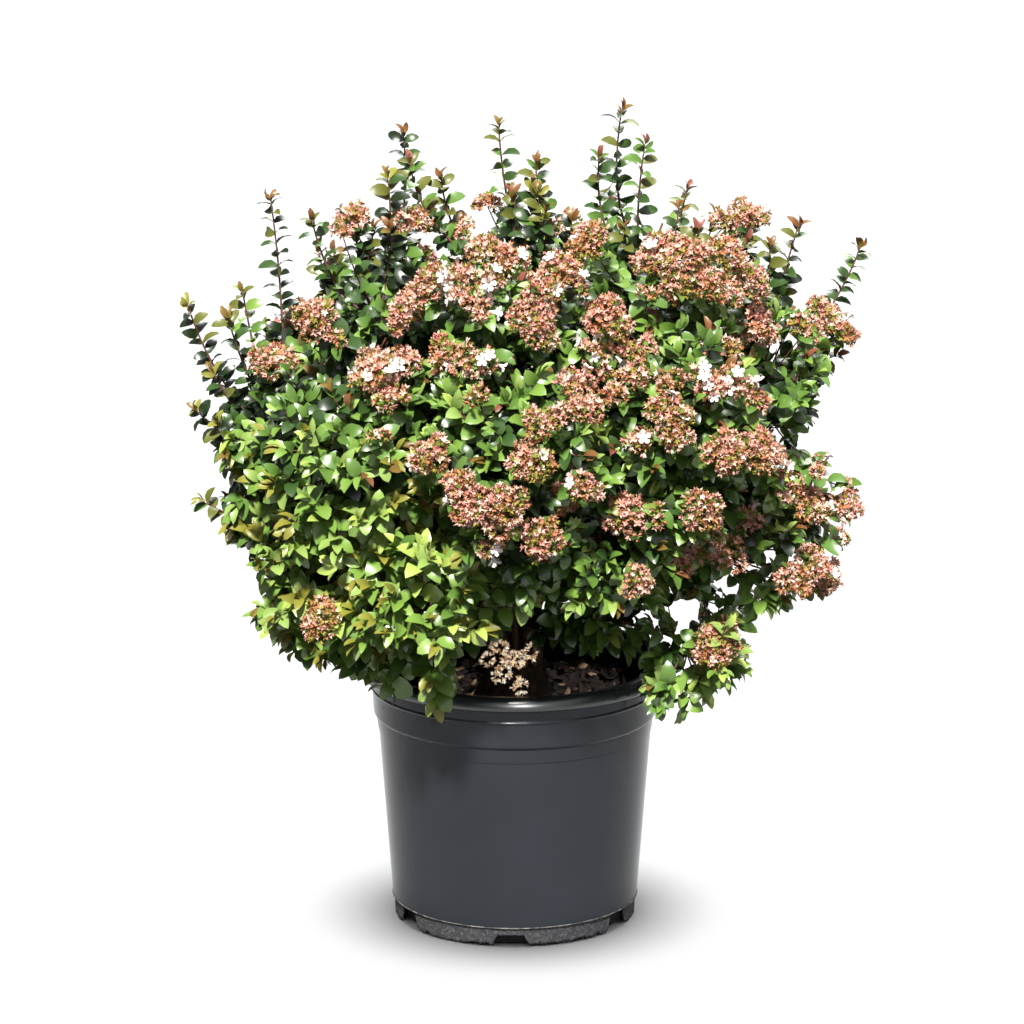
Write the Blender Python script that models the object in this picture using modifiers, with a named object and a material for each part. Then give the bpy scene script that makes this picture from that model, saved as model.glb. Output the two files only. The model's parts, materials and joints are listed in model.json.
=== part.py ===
"""A glossy abelia: a many-stemmed evergreen shrub in a black plastic nursery pot, at real size.

Metres, +Z up. The origin is the centre of the pot's flat underside and the front faces -Y.
A bearing is measured in degrees from +X, anticlockwise as seen from above, so the front is 270.
"""

import math
import random
from collections import namedtuple

import bmesh
import bpy
from mathutils import Matrix, Vector
from mathutils.bvhtree import BVHTree

# Pot
POT_HEIGHT = 0.240
LIP_RADIUS = 0.1415
LIP_DEPTH = 0.012
BAND_RADIUS = 0.1305
BAND_BOTTOM = 0.191
WALL_TOP_RADIUS = 0.1243
WALL_FOOT_RADIUS = 0.1116
FOOT_HEIGHT = 0.0175
FOOT_RADIUS = 0.1095
WALL = 0.0022
FLOOR = 0.0030
BAND_SHOULDER = 0.005
BAND_TAPER = 0.0020
LIP_ROUND = 0.003
LIP_UNDERCUT = 0.0025
INNER_ROUND = 0.0012
STEP_ROUND = 0.001
FLOOR_CORNER = 0.004
POT_STEPS = 30
NOTCHES = 6
NOTCH_FRONT_BEARING = 268.0
NOTCH_FRONT_TOP = 0.0110
NOTCH_TOP = 0.0165
NOTCH_WIDTH = 0.034
NOTCH_TOP_WIDTH_SHARE = 0.82
NOTCH_INNER_RADIUS = 0.099
CUTTER_MARGIN = 0.002

# Potting mix and the woody crown that the canes rise from
MEETING_GAP = 0.0003
SOIL_TOP = 0.206
SOIL_EDGE_DROP = 0.006
ROOT_CROWN_TOP = 0.236
ROOT_CROWN_RADIUS = 0.0275
ROOT_FLARE_RADIUS = 0.040
ROOT_CROWN_WAIST = (0.001, 0.45)
ROOT_CROWN_HIP = (0.005, 0.15)
SOIL_LEVEL_MARGIN = 0.006
ROOT_CROWN_STEPS = 14

# Canes: one tapering limb to each mass of foliage
CANE_RADIUS = 0.0029
CANE_TIP_RADIUS = 0.0017
CANE_POINTS = 6
COLLAR = 0.006
CANE_UPRIGHT_SHARE = 0.45
ENTRY_SHARE = 0.62
ENTRY_AIM_LIFT = 0.10
CROWN_LEAN = 0.10

# Foliage
SEED = 41
STEM_POINTS = 4
STEM_TIP_RADIUS = 0.0012
STEM_REACH_SHARE = 0.45
STEM_STRAIGHT_SHARE = 0.4
FACING_LIFT = 0.25
LIGHT_LIFT = 0.9
TWIG_RADIUS = 0.0019
TWIG_TIP_RADIUS = 0.0012
SHOOT_RADIUS = 0.0017
SHOOT_TIP_RADIUS = 0.0010
CORE_SHARES = (0.50, 0.44, 0.38)
CORE_UNEVENNESS = (0.86, 1.12)
SPREAD_CAP = math.radians(100)
FIRST_STEP = 0.3
TWIG_REACH_SHARES = (0.72, 0.88)
TWIG_ROOT_SHARES = (0.30, 0.90)
SHORTEST_TWIG_SHARE = 0.25
SHOOT_ROOT_SHARE = 0.72
SHOOT_BEND_SHARE = 0.15
GOLDEN_ANGLE = math.radians(137.508)
CELL_MARGIN = 0.004
CLEARANCE = 0.0006
CLEARANCE_SHARES = (0.3, 0.5, 0.1)
LEAF_LENGTH = 0.067
LEAF_SIZES = (0.85, 1.05)
LOW_LEAF_SHARE = 0.50
HIGH_PAIR_SHARE = 0.76
LEAF_SPREAD = math.radians(64)
TIP_LEAF_SPREAD = math.radians(46)
TIP_LEAF_INSET = 0.002
LEAF_TRIES = ((0.0, 1.0), (0.4, 1.0), (-0.4, 0.92))
SHOOT_LEAF_LENGTH = 0.036
SHOOT_PAIR_SHARE = 0.74
SHOOT_LEAF_SPREAD = math.radians(58)
SHOOT_TIP_SPREAD = math.radians(34)
SHOOT_TIP_SLIMNESS = 0.65
SHOOT_TIP_INSET = 0.0015
TIP_LEAF_SHARE = 0.78
TIP_LEAF_RISE = 0.85
LEAF_WIDTH_SHARE = 0.64
LEAF_THICKNESS_SHARE = 0.035
LEAF_WIDEST = 0.45
LEAF_FOLD = 0.07
LEAF_CURL = 0.08
LEAF_DROOP = 0.06
ROOT_SINK = 0.0003
BLOSSOM_RADIUS = 0.022
BLOSSOM_UNEVENNESS = (0.72, 1.18)
BLOOM_MEAN = 0.42
BLOOM_TO_THE_RIGHT = 1.1
BLOOM_UPWARDS = 0.8
BLOOM_MID_HEIGHT = 0.45
BLOOM_RANGE = (0.08, 0.7)
HEAD_SEAT = 0.4
HEAD_REACH = 1.4
CROWN_HEART = Vector((0.0, 0.0, 0.36))

# Tiers of foliage masses, from the rim upwards. Each ring is spread evenly from its first bearing.
# Its canes rise from a ring of their own on the woody crown, turned from it by so many degrees.
TIER_FIELDS = "name count first_bearing ring height half_width half_height cane_ring cane_turn twigs"
Tier = namedtuple("Tier", TIER_FIELDS)
TIERS = (
    Tier("skirt", 8, 22.5, 0.186, 0.340, 0.098, 0.086, 0.0240, 0, 5),
    Tier("side", 9, 30.0, 0.205, 0.470, 0.100, 0.098, 0.0165, 0, 5),
    Tier("shoulder", 6, 30.0, 0.135, 0.572, 0.100, 0.092, 0.0095, 0, 4),
    Tier("top", 2, 75.0, 0.042, 0.592, 0.080, 0.068, 0.0033, 0, 3),
)
# The front right of the skirt is thin, so the potting mix shows there, and a low branch trails past it.
THIN_SKIRT_BEARING = 292.5
THIN_SKIRT_LIFT = 0.045
THIN_SKIRT_SHARE = 0.74
TRAILING = Tier("trailing", 1, 323.0, 0.188, 0.262, 0.062, 0.046, 0.0240, -8, 4)

# Long shoots that stand out of the crown, each growing from the mass nearest its foot: sideways and
# forward place of the tip, its height, the shoot's length, its lean outwards for each metre that it
# rises, and whether it ends in a blossom head.
Shoot = namedtuple("Shoot", "x y height length lean blossom")
SHOOTS = (
    Shoot(-0.292, -0.030, 0.579, 0.120, 0.30, False),
    Shoot(-0.245, 0.020, 0.582, 0.115, 0.16, False),
    Shoot(-0.219, 0.030, 0.664, 0.140, 0.25, False),
    Shoot(-0.180, -0.050, 0.660, 0.100, 0.22, False),
    Shoot(-0.145, 0.000, 0.656, 0.070, 0.10, True),
    Shoot(-0.112, -0.062, 0.700, 0.090, 0.12, False),
    Shoot(-0.100, 0.030, 0.722, 0.105, 0.10, False),
    Shoot(-0.066, -0.020, 0.692, 0.085, 0.10, False),
    Shoot(-0.015, 0.010, 0.733, 0.110, 0.08, False),
    Shoot(0.018, -0.060, 0.712, 0.090, -0.16, False),
    Shoot(0.096, 0.020, 0.746, 0.125, 0.16, False),
    Shoot(0.114, -0.070, 0.730, 0.130, 0.16, False),
    Shoot(0.155, 0.040, 0.670, 0.080, 0.20, False),
    Shoot(0.215, 0.010, 0.656, 0.090, 0.24, True),
    Shoot(0.253, -0.020, 0.650, 0.105, 0.28, False),
    Shoot(0.312, 0.035, 0.619, 0.105, 0.34, False),
    Shoot(0.300, -0.020, 0.555, 0.080, 1.20, True),
    Shoot(-0.285, -0.080, 0.494, 0.060, 0.70, False),
    Shoot(-0.286, -0.040, 0.398, 0.085, 2.00, False),
    Shoot(0.308, -0.060, 0.400, 0.090, 2.00, True),
    Shoot(0.283, -0.100, 0.340, 0.080, 2.50, True),
    Shoot(0.204, -0.094, 0.262, 0.070, 2.60, False),
)
# The far side has shoots of its own, in an even row.
REAR_SHOOT_BEARINGS = (18.0, 61.0, 123.0, 160.0)
REAR_SHOOT = Shoot(0.190, 0.190, 0.626, 0.100, 0.20, False)

Mass = namedtuple("Mass", "name centre half_width half_height twigs cane_root entry heading")
Piece = namedtuple("Piece", "owner tree centre reach")


def clear_scene():
    """Start from an empty file."""
    for obj in list(bpy.data.objects):
        bpy.data.objects.remove(obj)


def material(name, color, roughness):
    """A plain Principled surface."""
    made = bpy.data.materials.new(name)
    made.use_nodes = True
    shader = made.node_tree.nodes["Principled BSDF"]
    shader.inputs["Base Color"].default_value = (*color, 1.0)
    shader.inputs["Roughness"].default_value = roughness
    shader.inputs["Metallic"].default_value = 0.0
    return made


def polar(radius, bearing, height):
    """A point at a distance from the pot's axis, on a bearing in degrees."""
    angle = math.radians(bearing)
    return Vector((radius * math.cos(angle), radius * math.sin(angle), height))


def mesh_object(name, mesh, collection):
    """Link a mesh as a named object."""
    obj = bpy.data.objects.new(name, mesh)
    collection.objects.link(obj)
    return obj


def mesh_from_bmesh(name, bm, surface):
    """Turn a finished bmesh into a mesh with one material."""
    mesh = bpy.data.meshes.new(name)
    bm.to_mesh(mesh)
    bm.free()
    mesh.materials.append(surface)
    return mesh


def evaluated_mesh(obj):
    """The mesh of an object with its modifiers, or of a curve with its bevel."""
    bpy.context.view_layer.update()
    graph = bpy.context.evaluated_depsgraph_get()
    return bpy.data.meshes.new_from_object(obj.evaluated_get(graph))


def turned(name, profile, steps, surface, collection):
    """A solid of revolution about Z. The profile runs from the axis out, down its outer side, and back."""
    mesh = bpy.data.meshes.new(name)
    points = [(radius, 0.0, height) for radius, height in profile]
    mesh.from_pydata(points, [(i, i + 1) for i in range(len(points) - 1)], [])
    mesh.materials.append(surface)
    obj = mesh_object(name, mesh, collection)
    screw = obj.modifiers.new("Turn", "SCREW")
    screw.steps = steps
    screw.render_steps = steps
    screw.use_merge_vertices = True
    screw.merge_threshold = 0.00005
    screw.use_smooth_shade = True
    return obj


# Pot and potting mix


def notch_cutter(bearing, top, cutters):
    """A wedge that cuts one drain notch through the foot of the pot."""
    bm = bmesh.new()
    bmesh.ops.create_cube(bm, size=1.0)
    depth = FOOT_RADIUS + CUTTER_MARGIN - NOTCH_INNER_RADIUS
    for vert in bm.verts:
        narrowing = NOTCH_TOP_WIDTH_SHARE if vert.co.z > 0 else 1.0
        vert.co.x = NOTCH_INNER_RADIUS + depth * (vert.co.x + 0.5)
        vert.co.y *= NOTCH_WIDTH * narrowing
        vert.co.z = top if vert.co.z > 0 else -CUTTER_MARGIN
    bm.transform(Matrix.Rotation(math.radians(bearing), 4, "Z"))
    mesh = bpy.data.meshes.new("notch")
    bm.to_mesh(mesh)
    bm.free()
    cutter = mesh_object("notch_cutter", mesh, cutters)
    cutter.hide_render = True
    cutter.display_type = "WIRE"


def make_pot(collection, cutters):
    """The blow-moulded pot: foot with drain notches, tapering wall, raised band and rolled lip."""
    black_plastic = material("pot_plastic", (0.035, 0.038, 0.041), 0.34)
    inner_foot = WALL_FOOT_RADIUS - WALL
    profile = [
        (0.0, FLOOR),
        (inner_foot - FLOOR_CORNER, FLOOR),
        (inner_foot, FOOT_HEIGHT),
        (WALL_TOP_RADIUS - WALL, BAND_BOTTOM - FLOOR_CORNER),
        (BAND_RADIUS - WALL - STEP_ROUND, BAND_BOTTOM + BAND_SHOULDER),
        (BAND_RADIUS - WALL, POT_HEIGHT - INNER_ROUND),
        (BAND_RADIUS - WALL + INNER_ROUND, POT_HEIGHT),
        (LIP_RADIUS - LIP_ROUND, POT_HEIGHT),
        (LIP_RADIUS, POT_HEIGHT - LIP_ROUND),
        (LIP_RADIUS, POT_HEIGHT - LIP_DEPTH + LIP_UNDERCUT),
        (LIP_RADIUS - LIP_UNDERCUT, POT_HEIGHT - LIP_DEPTH),
        (BAND_RADIUS, POT_HEIGHT - LIP_DEPTH - STEP_ROUND),
        (BAND_RADIUS - BAND_TAPER, BAND_BOTTOM),
        (WALL_TOP_RADIUS, BAND_BOTTOM - BAND_SHOULDER),
        (WALL_FOOT_RADIUS, FOOT_HEIGHT + STEP_ROUND),
        (FOOT_RADIUS, FOOT_HEIGHT - STEP_ROUND),
        (FOOT_RADIUS, 0.0),
        (0.0, 0.0),
    ]
    pot = turned("pot", profile, POT_STEPS, black_plastic, collection)
    for index in range(NOTCHES):
        top = NOTCH_FRONT_TOP if index == 0 else NOTCH_TOP
        notch_cutter(NOTCH_FRONT_BEARING + index * 360 / NOTCHES, top, cutters)
    cut = pot.modifiers.new("Drain notches", "BOOLEAN")
    cut.operation = "DIFFERENCE"
    cut.operand_type = "COLLECTION"
    cut.collection = cutters
    return pot


def make_soil(collection):
    """The potting mix that fills the pot to below its lip, flat in the middle and sunk at the wall."""
    dark_soil = material("potting_mix", (0.018, 0.014, 0.011), 0.95)
    gap = WALL + MEETING_GAP
    profile = [
        (0.0, SOIL_TOP),
        (ROOT_FLARE_RADIUS + SOIL_LEVEL_MARGIN, SOIL_TOP),
        (WALL_TOP_RADIUS - gap, SOIL_TOP - SOIL_EDGE_DROP),
        (WALL_TOP_RADIUS - gap, BAND_BOTTOM - BAND_SHOULDER),
        (WALL_FOOT_RADIUS - gap, FOOT_HEIGHT + MEETING_GAP),
        (WALL_FOOT_RADIUS - gap - FLOOR_CORNER, FLOOR + MEETING_GAP),
        (0.0, FLOOR + MEETING_GAP),
    ]
    return turned("potting_mix", profile, POT_STEPS, dark_soil, collection)


def make_root_crown(collection, bark):
    """The short woody foot of the shrub: a flat cut on the soil, a root flare, and a flat fork on top."""
    height = ROOT_CROWN_TOP - SOIL_TOP
    foot = SOIL_TOP + MEETING_GAP
    profile = [(0.0, ROOT_CROWN_TOP), (ROOT_CROWN_RADIUS, ROOT_CROWN_TOP)]
    for swelling, share in (ROOT_CROWN_WAIST, ROOT_CROWN_HIP):
        profile.append((ROOT_CROWN_RADIUS + swelling, foot + share * height))
    profile += [(ROOT_FLARE_RADIUS, foot), (0.0, foot)]
    return turned("root_crown", profile, ROOT_CROWN_STEPS, bark, collection)


# Limbs


def tube(name, points, radii, surface, collection):
    """A four-sided tapering tube along a run of points, as a bevelled curve."""
    curve = bpy.data.curves.new(name, "CURVE")
    curve.dimensions = "3D"
    curve.bevel_depth = 1.0
    curve.bevel_resolution = 0
    curve.use_fill_caps = True
    spline = curve.splines.new("POLY")
    spline.points.add(len(points) - 1)
    for spot, point, radius in zip(spline.points, points, radii):
        spot.co = (*point, 1.0)
        spot.radius = radius
    curve.materials.append(surface)
    obj = bpy.data.objects.new(name, curve)
    collection.objects.link(obj)
    return obj


def tube_mesh(name, points, radii, surface, collection):
    """A tube as a closed mesh object, its caps welded to its sides."""
    curve_object = tube(name + "_curve", points, radii, surface, collection)
    mesh = evaluated_mesh(curve_object)
    curve = curve_object.data
    bpy.data.objects.remove(curve_object)
    bpy.data.curves.remove(curve)
    bm = bmesh.new()
    bm.from_mesh(mesh)
    bmesh.ops.remove_doubles(bm, verts=bm.verts, dist=0.00001)
    bm.to_mesh(mesh)
    bm.free()
    return mesh_object(name, mesh, collection)


def bend(start, middle, end, count):
    """Points along a quadratic curve."""
    shares = [index / (count - 1) for index in range(count)]
    return [start * (1 - t) ** 2 + middle * (2 * t * (1 - t)) + end * t**2 for t in shares]


def taper(first, last, count):
    """Radii from first to last."""
    return [first + (last - first) * index / (count - 1) for index in range(count)]


def cane_points(mass):
    """A cane leaves the woody crown upright and arches over to where it enters its mass."""
    rise = CANE_UPRIGHT_SHARE * (mass.entry - mass.cane_root).length
    collar = mass.cane_root + Vector((0, 0, COLLAR))
    return [mass.cane_root, *bend(collar, collar + Vector((0, 0, rise)), mass.entry, CANE_POINTS - 1)]


# Masses of foliage


def plan_mass(tier, index):
    """Where one mass sits, how large it is, and where its cane starts and ends."""
    bearing = tier.first_bearing + index * 360 / tier.count
    height = tier.height
    half_width = tier.half_width
    if tier.name == "skirt" and bearing == THIN_SKIRT_BEARING:
        height += THIN_SKIRT_LIFT
        half_width *= THIN_SKIRT_SHARE
    centre = polar(tier.ring, bearing, height)
    centre.z += CROWN_LEAN * centre.x
    cane_root = polar(tier.cane_ring, bearing + tier.cane_turn, ROOT_CROWN_TOP + MEETING_GAP)
    inward = (cane_root + Vector((0, 0, ENTRY_AIM_LIFT)) - centre).normalized()
    entry = centre + inward * half_width * ENTRY_SHARE
    half_height = tier.half_height * half_width / tier.half_width
    name = f"{tier.name}_{index + 1}"
    mass = Mass(name, centre, half_width, half_height, tier.twigs, cane_root, entry, None)
    run = cane_points(mass)
    return mass._replace(heading=(run[-1] - run[-2]).normalized())


def plan_crown():
    """All the masses, tier by tier."""
    return [plan_mass(tier, i) for tier in (*TIERS, TRAILING) for i in range(tier.count)]


def outward(mass):
    """The way a mass faces: away from the heart of the crown, and a little upwards."""
    away = (mass.centre - CROWN_HEART).normalized()
    return (away + Vector((0, 0, FACING_LIFT))).normalized()


def stem_points(mass):
    """The one stem of a mass, going on from its cane and turning outwards."""
    start = mass.entry + mass.heading * MEETING_GAP
    collar = start + mass.heading * COLLAR
    end = mass.centre + outward(mass) * mass.half_width * STEM_REACH_SHARE
    middle = collar + mass.heading * STEM_STRAIGHT_SHARE * (end - collar).length
    return [start, *bend(collar, middle, end, STEM_POINTS - 1)]


def share_inside_cell(mass, reach, masses):
    """How much of a reach from the mass's centre stays on its side of the planes between masses."""
    share = 1.0
    for other in masses:
        if other.name == mass.name:
            continue
        across = other.centre - mass.centre
        room = across.length / 2 - CELL_MARGIN
        along = reach.dot(across.normalized())
        if along > room:
            share = min(share, room / along)
    return share


def twig_runs(mass, masses, stem, rng):
    """Start and end of each twig: tips spread evenly over the mass's outer face, roots on its stem."""
    facing = outward(mass)
    side = facing.orthogonal().normalized()
    other_side = facing.cross(side)
    phase = rng.uniform(0, math.tau)
    lowest, highest = TWIG_ROOT_SHARES
    runs = []
    for index in range(mass.twigs):
        forward = 1 - (index + FIRST_STEP) / mass.twigs * (1 - math.cos(SPREAD_CAP))
        sideways = math.sqrt(1 - forward**2)
        spin = phase + index * GOLDEN_ANGLE
        ray = facing * forward + (side * math.cos(spin) + other_side * math.sin(spin)) * sideways
        reach = Vector((ray.x * mass.half_width, ray.y * mass.half_width, ray.z * mass.half_height))
        reach *= rng.uniform(*TWIG_REACH_SHARES)
        reach *= share_inside_cell(mass, reach, masses)
        root = point_along(stem, lowest + (highest - lowest) * (forward + 1) / 2)
        tip = mass.centre + reach
        if (tip - root).length > SHORTEST_TWIG_SHARE * mass.half_width:
            runs.append((root, tip))
    return runs


def point_along(points, share):
    """The point at a share of the way along evenly spaced points."""
    place = share * (len(points) - 1)
    index = min(int(place), len(points) - 2)
    return points[index].lerp(points[index + 1], place - index)


def shoot_ends(shoot):
    """Where the bare foot of a long shoot leaves the crown, and where its stalk ends below its tip."""
    tip = Vector((shoot.x, shoot.y, shoot.height))
    away = Vector((shoot.x, shoot.y, 0)).normalized()
    rising = (Vector((0, 0, 1)) + away * shoot.lean).normalized()
    topping = SHOOT_LEAF_LENGTH * TIP_LEAF_SHARE * TIP_LEAF_RISE
    if shoot.blossom:
        topping = BLOSSOM_RADIUS * HEAD_REACH
    return tip - rising * shoot.length, tip - rising * topping


def shoot_run(shoot, stem):
    """A long shoot: out of its mass's stem, then straight up."""
    base, top = shoot_ends(shoot)
    root = point_along(stem, SHOOT_ROOT_SHARE)
    return bend(root, base.lerp(top, SHOOT_BEND_SHARE), top, STEM_POINTS)


def all_shoots():
    """The shoots seen from the front, and the even row of the far side."""
    yield from SHOOTS
    for bearing in REAR_SHOOT_BEARINGS:
        place = polar(1.0, bearing, 0.0)
        height = REAR_SHOOT.height + CROWN_LEAN * place.x * REAR_SHOOT.x
        yield REAR_SHOOT._replace(x=place.x * REAR_SHOOT.x, y=place.y * REAR_SHOOT.y, height=height)


def mass_nearest(point, masses):
    """The mass whose centre is nearest to a point."""
    return min(masses, key=lambda mass: (mass.centre - point).length)


def leaf_mesh(surface):
    """A leaf one unit long, pointing along +Y from its root: eight faces, folded along its midrib."""
    bm = bmesh.new()
    bmesh.ops.create_uvsphere(bm, u_segments=4, v_segments=2, radius=0.5)
    half_width = LEAF_WIDTH_SHARE / 2
    half_thick = LEAF_THICKNESS_SHARE / 2
    for vert in bm.verts:
        sides = [abs(value) for value in vert.co]
        x, y, z = vert.co
        if sides[0] == max(sides):
            vert.co = (math.copysign(half_width, x), LEAF_WIDEST, LEAF_FOLD)
        elif sides[2] == max(sides):
            vert.co = (0.0, LEAF_WIDEST, math.copysign(half_thick, z))
        elif y > 0:
            vert.co = (0.0, 1.0, -LEAF_CURL)
        else:
            vert.co = (0.0, 0.0, 0.0)
    return mesh_from_bmesh("leaf", bm, surface)


def blossom_mesh(surface, rng):
    """A blossom head one unit in radius: a small ball whose corners stand out unevenly like florets."""
    bm = bmesh.new()
    bmesh.ops.create_icosphere(bm, subdivisions=1, radius=1.0)
    for vert in bm.verts:
        vert.co *= rng.uniform(*BLOSSOM_UNEVENNESS)
    return mesh_from_bmesh("blossom", bm, surface)


def core_mesh(surface, rng):
    """The dense dark heart of a mass, one unit in radius: a ball with shallow hollows and bulges."""
    bm = bmesh.new()
    bmesh.ops.create_icosphere(bm, subdivisions=1, radius=1.0)
    for vert in bm.verts:
        vert.co *= rng.uniform(*CORE_UNEVENNESS)
    return mesh_from_bmesh("core", bm, surface)


def twig_mesh(surface):
    """A twig one unit long along +Y, three-sided, a little thinner at its tip."""
    bm = bmesh.new()
    thinning = TWIG_TIP_RADIUS / TWIG_RADIUS
    bmesh.ops.create_cone(bm, segments=3, radius1=1.0, radius2=thinning, depth=1.0, cap_ends=True)
    bm.transform(Matrix.Rotation(-math.pi / 2, 4, "X") @ Matrix.Translation((0, 0, 0.5)))
    return mesh_from_bmesh("twig", bm, surface)


def pointing(root, direction, upside):
    """A frame at root with +Y along direction and +Z as near to upside as it can be."""
    forward = direction.normalized()
    across = forward.cross(upside)
    if across.length < MEETING_GAP:
        across = forward.orthogonal()
    across.normalize()
    top = across.cross(forward)
    columns = Matrix((across, forward, top)).transposed()
    return Matrix.Translation(root) @ columns.to_4x4()


def sized(frame, width, length, thickness):
    """A frame stretched along its own axes."""
    return frame @ Matrix.Diagonal((width, length, thickness, 1.0))


class Crown:
    """Keeps what has been placed, so that each node stays clear of every other."""

    def __init__(self, collection, scratch):
        self.collection = collection
        self.scratch = scratch
        self.taken = []
        self.grown = {}

    def tree_of(self, vertices, faces):
        """What a clearance test needs of one piece."""
        centre = sum(vertices, Vector()) / len(vertices)
        reach = max((vertex - centre).length for vertex in vertices)
        return BVHTree.FromPolygons(vertices, faces), centre, reach

    def keep_out(self, owner, obj):
        """Record a finished object that nothing else may touch."""
        mesh = evaluated_mesh(obj)
        vertices = [obj.matrix_world @ vertex.co for vertex in mesh.vertices]
        faces = [tuple(face.vertices) for face in mesh.polygons]
        bpy.data.meshes.remove(mesh)
        self.taken.append(Piece(owner, *self.tree_of(vertices, faces)))
        return self.taken[-1]

    def clear_of_all(self, piece, owner, friends):
        """Whether a piece touches nothing but its friends, or nothing but its own mass if it has none."""
        for other in self.taken:
            spared = other in friends if friends else other.owner == owner
            near = (other.centre - piece.centre).length < other.reach + piece.reach
            if near and not spared and other.tree.overlap(piece.tree):
                return False
        return True

    def add(self, mass, obj):
        """Hand a piece to its mass, to be joined with the rest."""
        self.grown.setdefault(mass.name, []).append(obj)

    def add_run(self, mass, name, points, radii, surface):
        """A stem or shoot of a mass."""
        obj = tube_mesh(name, points, radii, surface, self.scratch)
        self.add(mass, obj)
        return self.keep_out(mass.name, obj)

    def try_piece(self, mass, mesh, frame, size, friends=()):
        """Place one leaf, twig or blossom if it keeps clear of the rest. Gives its record, or None."""
        wider = [value + CLEARANCE / share for value, share in zip(size, CLEARANCE_SHARES)]
        faces = [tuple(face.vertices) for face in mesh.polygons]
        grown_frame = sized(frame, *wider)
        grown = Piece(mass.name, *self.tree_of([grown_frame @ v.co for v in mesh.vertices], faces))
        if not self.clear_of_all(grown, mass.name, friends):
            return None
        placed_frame = sized(frame, *size)
        placed = [placed_frame @ v.co for v in mesh.vertices]
        self.taken.append(Piece(mass.name, *self.tree_of(placed, faces)))
        obj = mesh_object(mesh.name, mesh, self.scratch)
        obj.matrix_world = placed_frame
        self.add(mass, obj)
        return self.taken[-1]


def add_core(crown, mass, core):
    """The largest core that keeps clear of the other nodes, out of a few sizes."""
    for share in CORE_SHARES:
        frame = pointing(mass.centre, outward(mass), Vector((0, 0, 1)))
        size = (mass.half_width * share, mass.half_width * share, mass.half_height * share)
        if crown.try_piece(mass, core, frame, size):
            return


def leaf_pair(crown, mass, leaf, twig, root, along, length, quarter, spread, slimness=1.0, count=2):
    """Two opposite leaves on a twig, or one. Quarter turns each pair across the one before.

    A leaf without room turns a little round its twig, or is smaller, before it is left out.
    """
    light = outward(mass) + Vector((0, 0, LIGHT_LIFT))
    friends = [twig]
    for sign in (1, -1)[:count]:
        for turn, share in LEAF_TRIES:
            side = along.orthogonal().normalized() * sign
            side.rotate(Matrix.Rotation(quarter + turn, 3, along))
            direction = along * math.cos(spread) + side * math.sin(spread)
            direction.z -= LEAF_DROOP
            frame = pointing(root - side * ROOT_SINK, direction, light)
            size = (length * share * slimness, length * share, length * share)
            placed = crown.try_piece(mass, leaf, frame, size, friends)
            if placed:
                friends.append(placed)
                break


def add_head(crown, mass, blossom, twig, tip, along):
    """A blossom head at the tip of a twig. Gives its record, or None where it has no room."""
    frame = pointing(tip + along * BLOSSOM_RADIUS * HEAD_SEAT, along, Vector((0, 0, 1)))
    return crown.try_piece(mass, blossom, frame, (BLOSSOM_RADIUS,) * 3, [twig])


def dress_twig(crown, mass, leaf, twig, run, head, rng):
    """Leaves along a twig of a mass: one low down, a pair above, and a pair at a tip without a head."""
    root, tip = run
    along = (tip - root).normalized()
    turn = rng.uniform(0, math.pi)
    low = LEAF_LENGTH * rng.uniform(*LEAF_SIZES)
    high = LEAF_LENGTH * rng.uniform(*LEAF_SIZES)
    place = root.lerp(tip, LOW_LEAF_SHARE)
    leaf_pair(crown, mass, leaf, twig, place, along, low, turn, LEAF_SPREAD, count=1)
    place = root.lerp(tip, HIGH_PAIR_SHARE)
    leaf_pair(crown, mass, leaf, twig, place, along, high, turn + math.pi / 2, LEAF_SPREAD)
    if head:
        return
    place = tip - along * TIP_LEAF_INSET
    leaf_pair(crown, mass, leaf, twig, place, along, LEAF_LENGTH * TIP_LEAF_SHARE, turn, TIP_LEAF_SPREAD)


def dress_shoot(crown, mass, leaf, shoot, points, head):
    """Small leaves on a long shoot: a pair part of the way up, and a steep narrow pair at its tip."""
    place = point_along(points, SHOOT_PAIR_SHARE)
    along = (points[-1] - points[-2]).normalized()
    leaf_pair(crown, mass, leaf, shoot, place, along, SHOOT_LEAF_LENGTH, math.pi / 2, SHOOT_LEAF_SPREAD)
    if head:
        return
    place = points[-1] - along * SHOOT_TIP_INSET
    length = SHOOT_LEAF_LENGTH * TIP_LEAF_SHARE
    leaf_pair(crown, mass, leaf, shoot, place, along, length, 0.0, SHOOT_TIP_SPREAD, SHOOT_TIP_SLIMNESS)


def bloom_share(mass):
    """Blossom is thick on the right and over the top, and thin low down on the left."""
    share = BLOOM_MEAN + BLOOM_TO_THE_RIGHT * mass.centre.x
    share += BLOOM_UPWARDS * (mass.centre.z - BLOOM_MID_HEIGHT)
    return min(max(share, BLOOM_RANGE[0]), BLOOM_RANGE[1])


def keep_largest_shell(mesh):
    """Drop loose scraps and sealed hollows that joining has left, which are shells of their own."""
    bm = bmesh.new()
    bm.from_mesh(mesh)
    unseen = set(bm.faces)
    shells = []
    while unseen:
        shell = set()
        edge = {unseen.pop()}
        while edge:
            face = edge.pop()
            shell.add(face)
            linked = {other for side in face.edges for other in side.link_faces}
            fresh = linked & unseen
            unseen -= fresh
            edge |= fresh
        shells.append(shell)
    shells.sort(key=len)
    for shell in shells[:-1]:
        bmesh.ops.delete(bm, geom=list(shell), context="FACES")
    bmesh.ops.delete(bm, geom=[v for v in bm.verts if not v.link_faces], context="VERTS")
    bm.to_mesh(mesh)
    bm.free()


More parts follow.
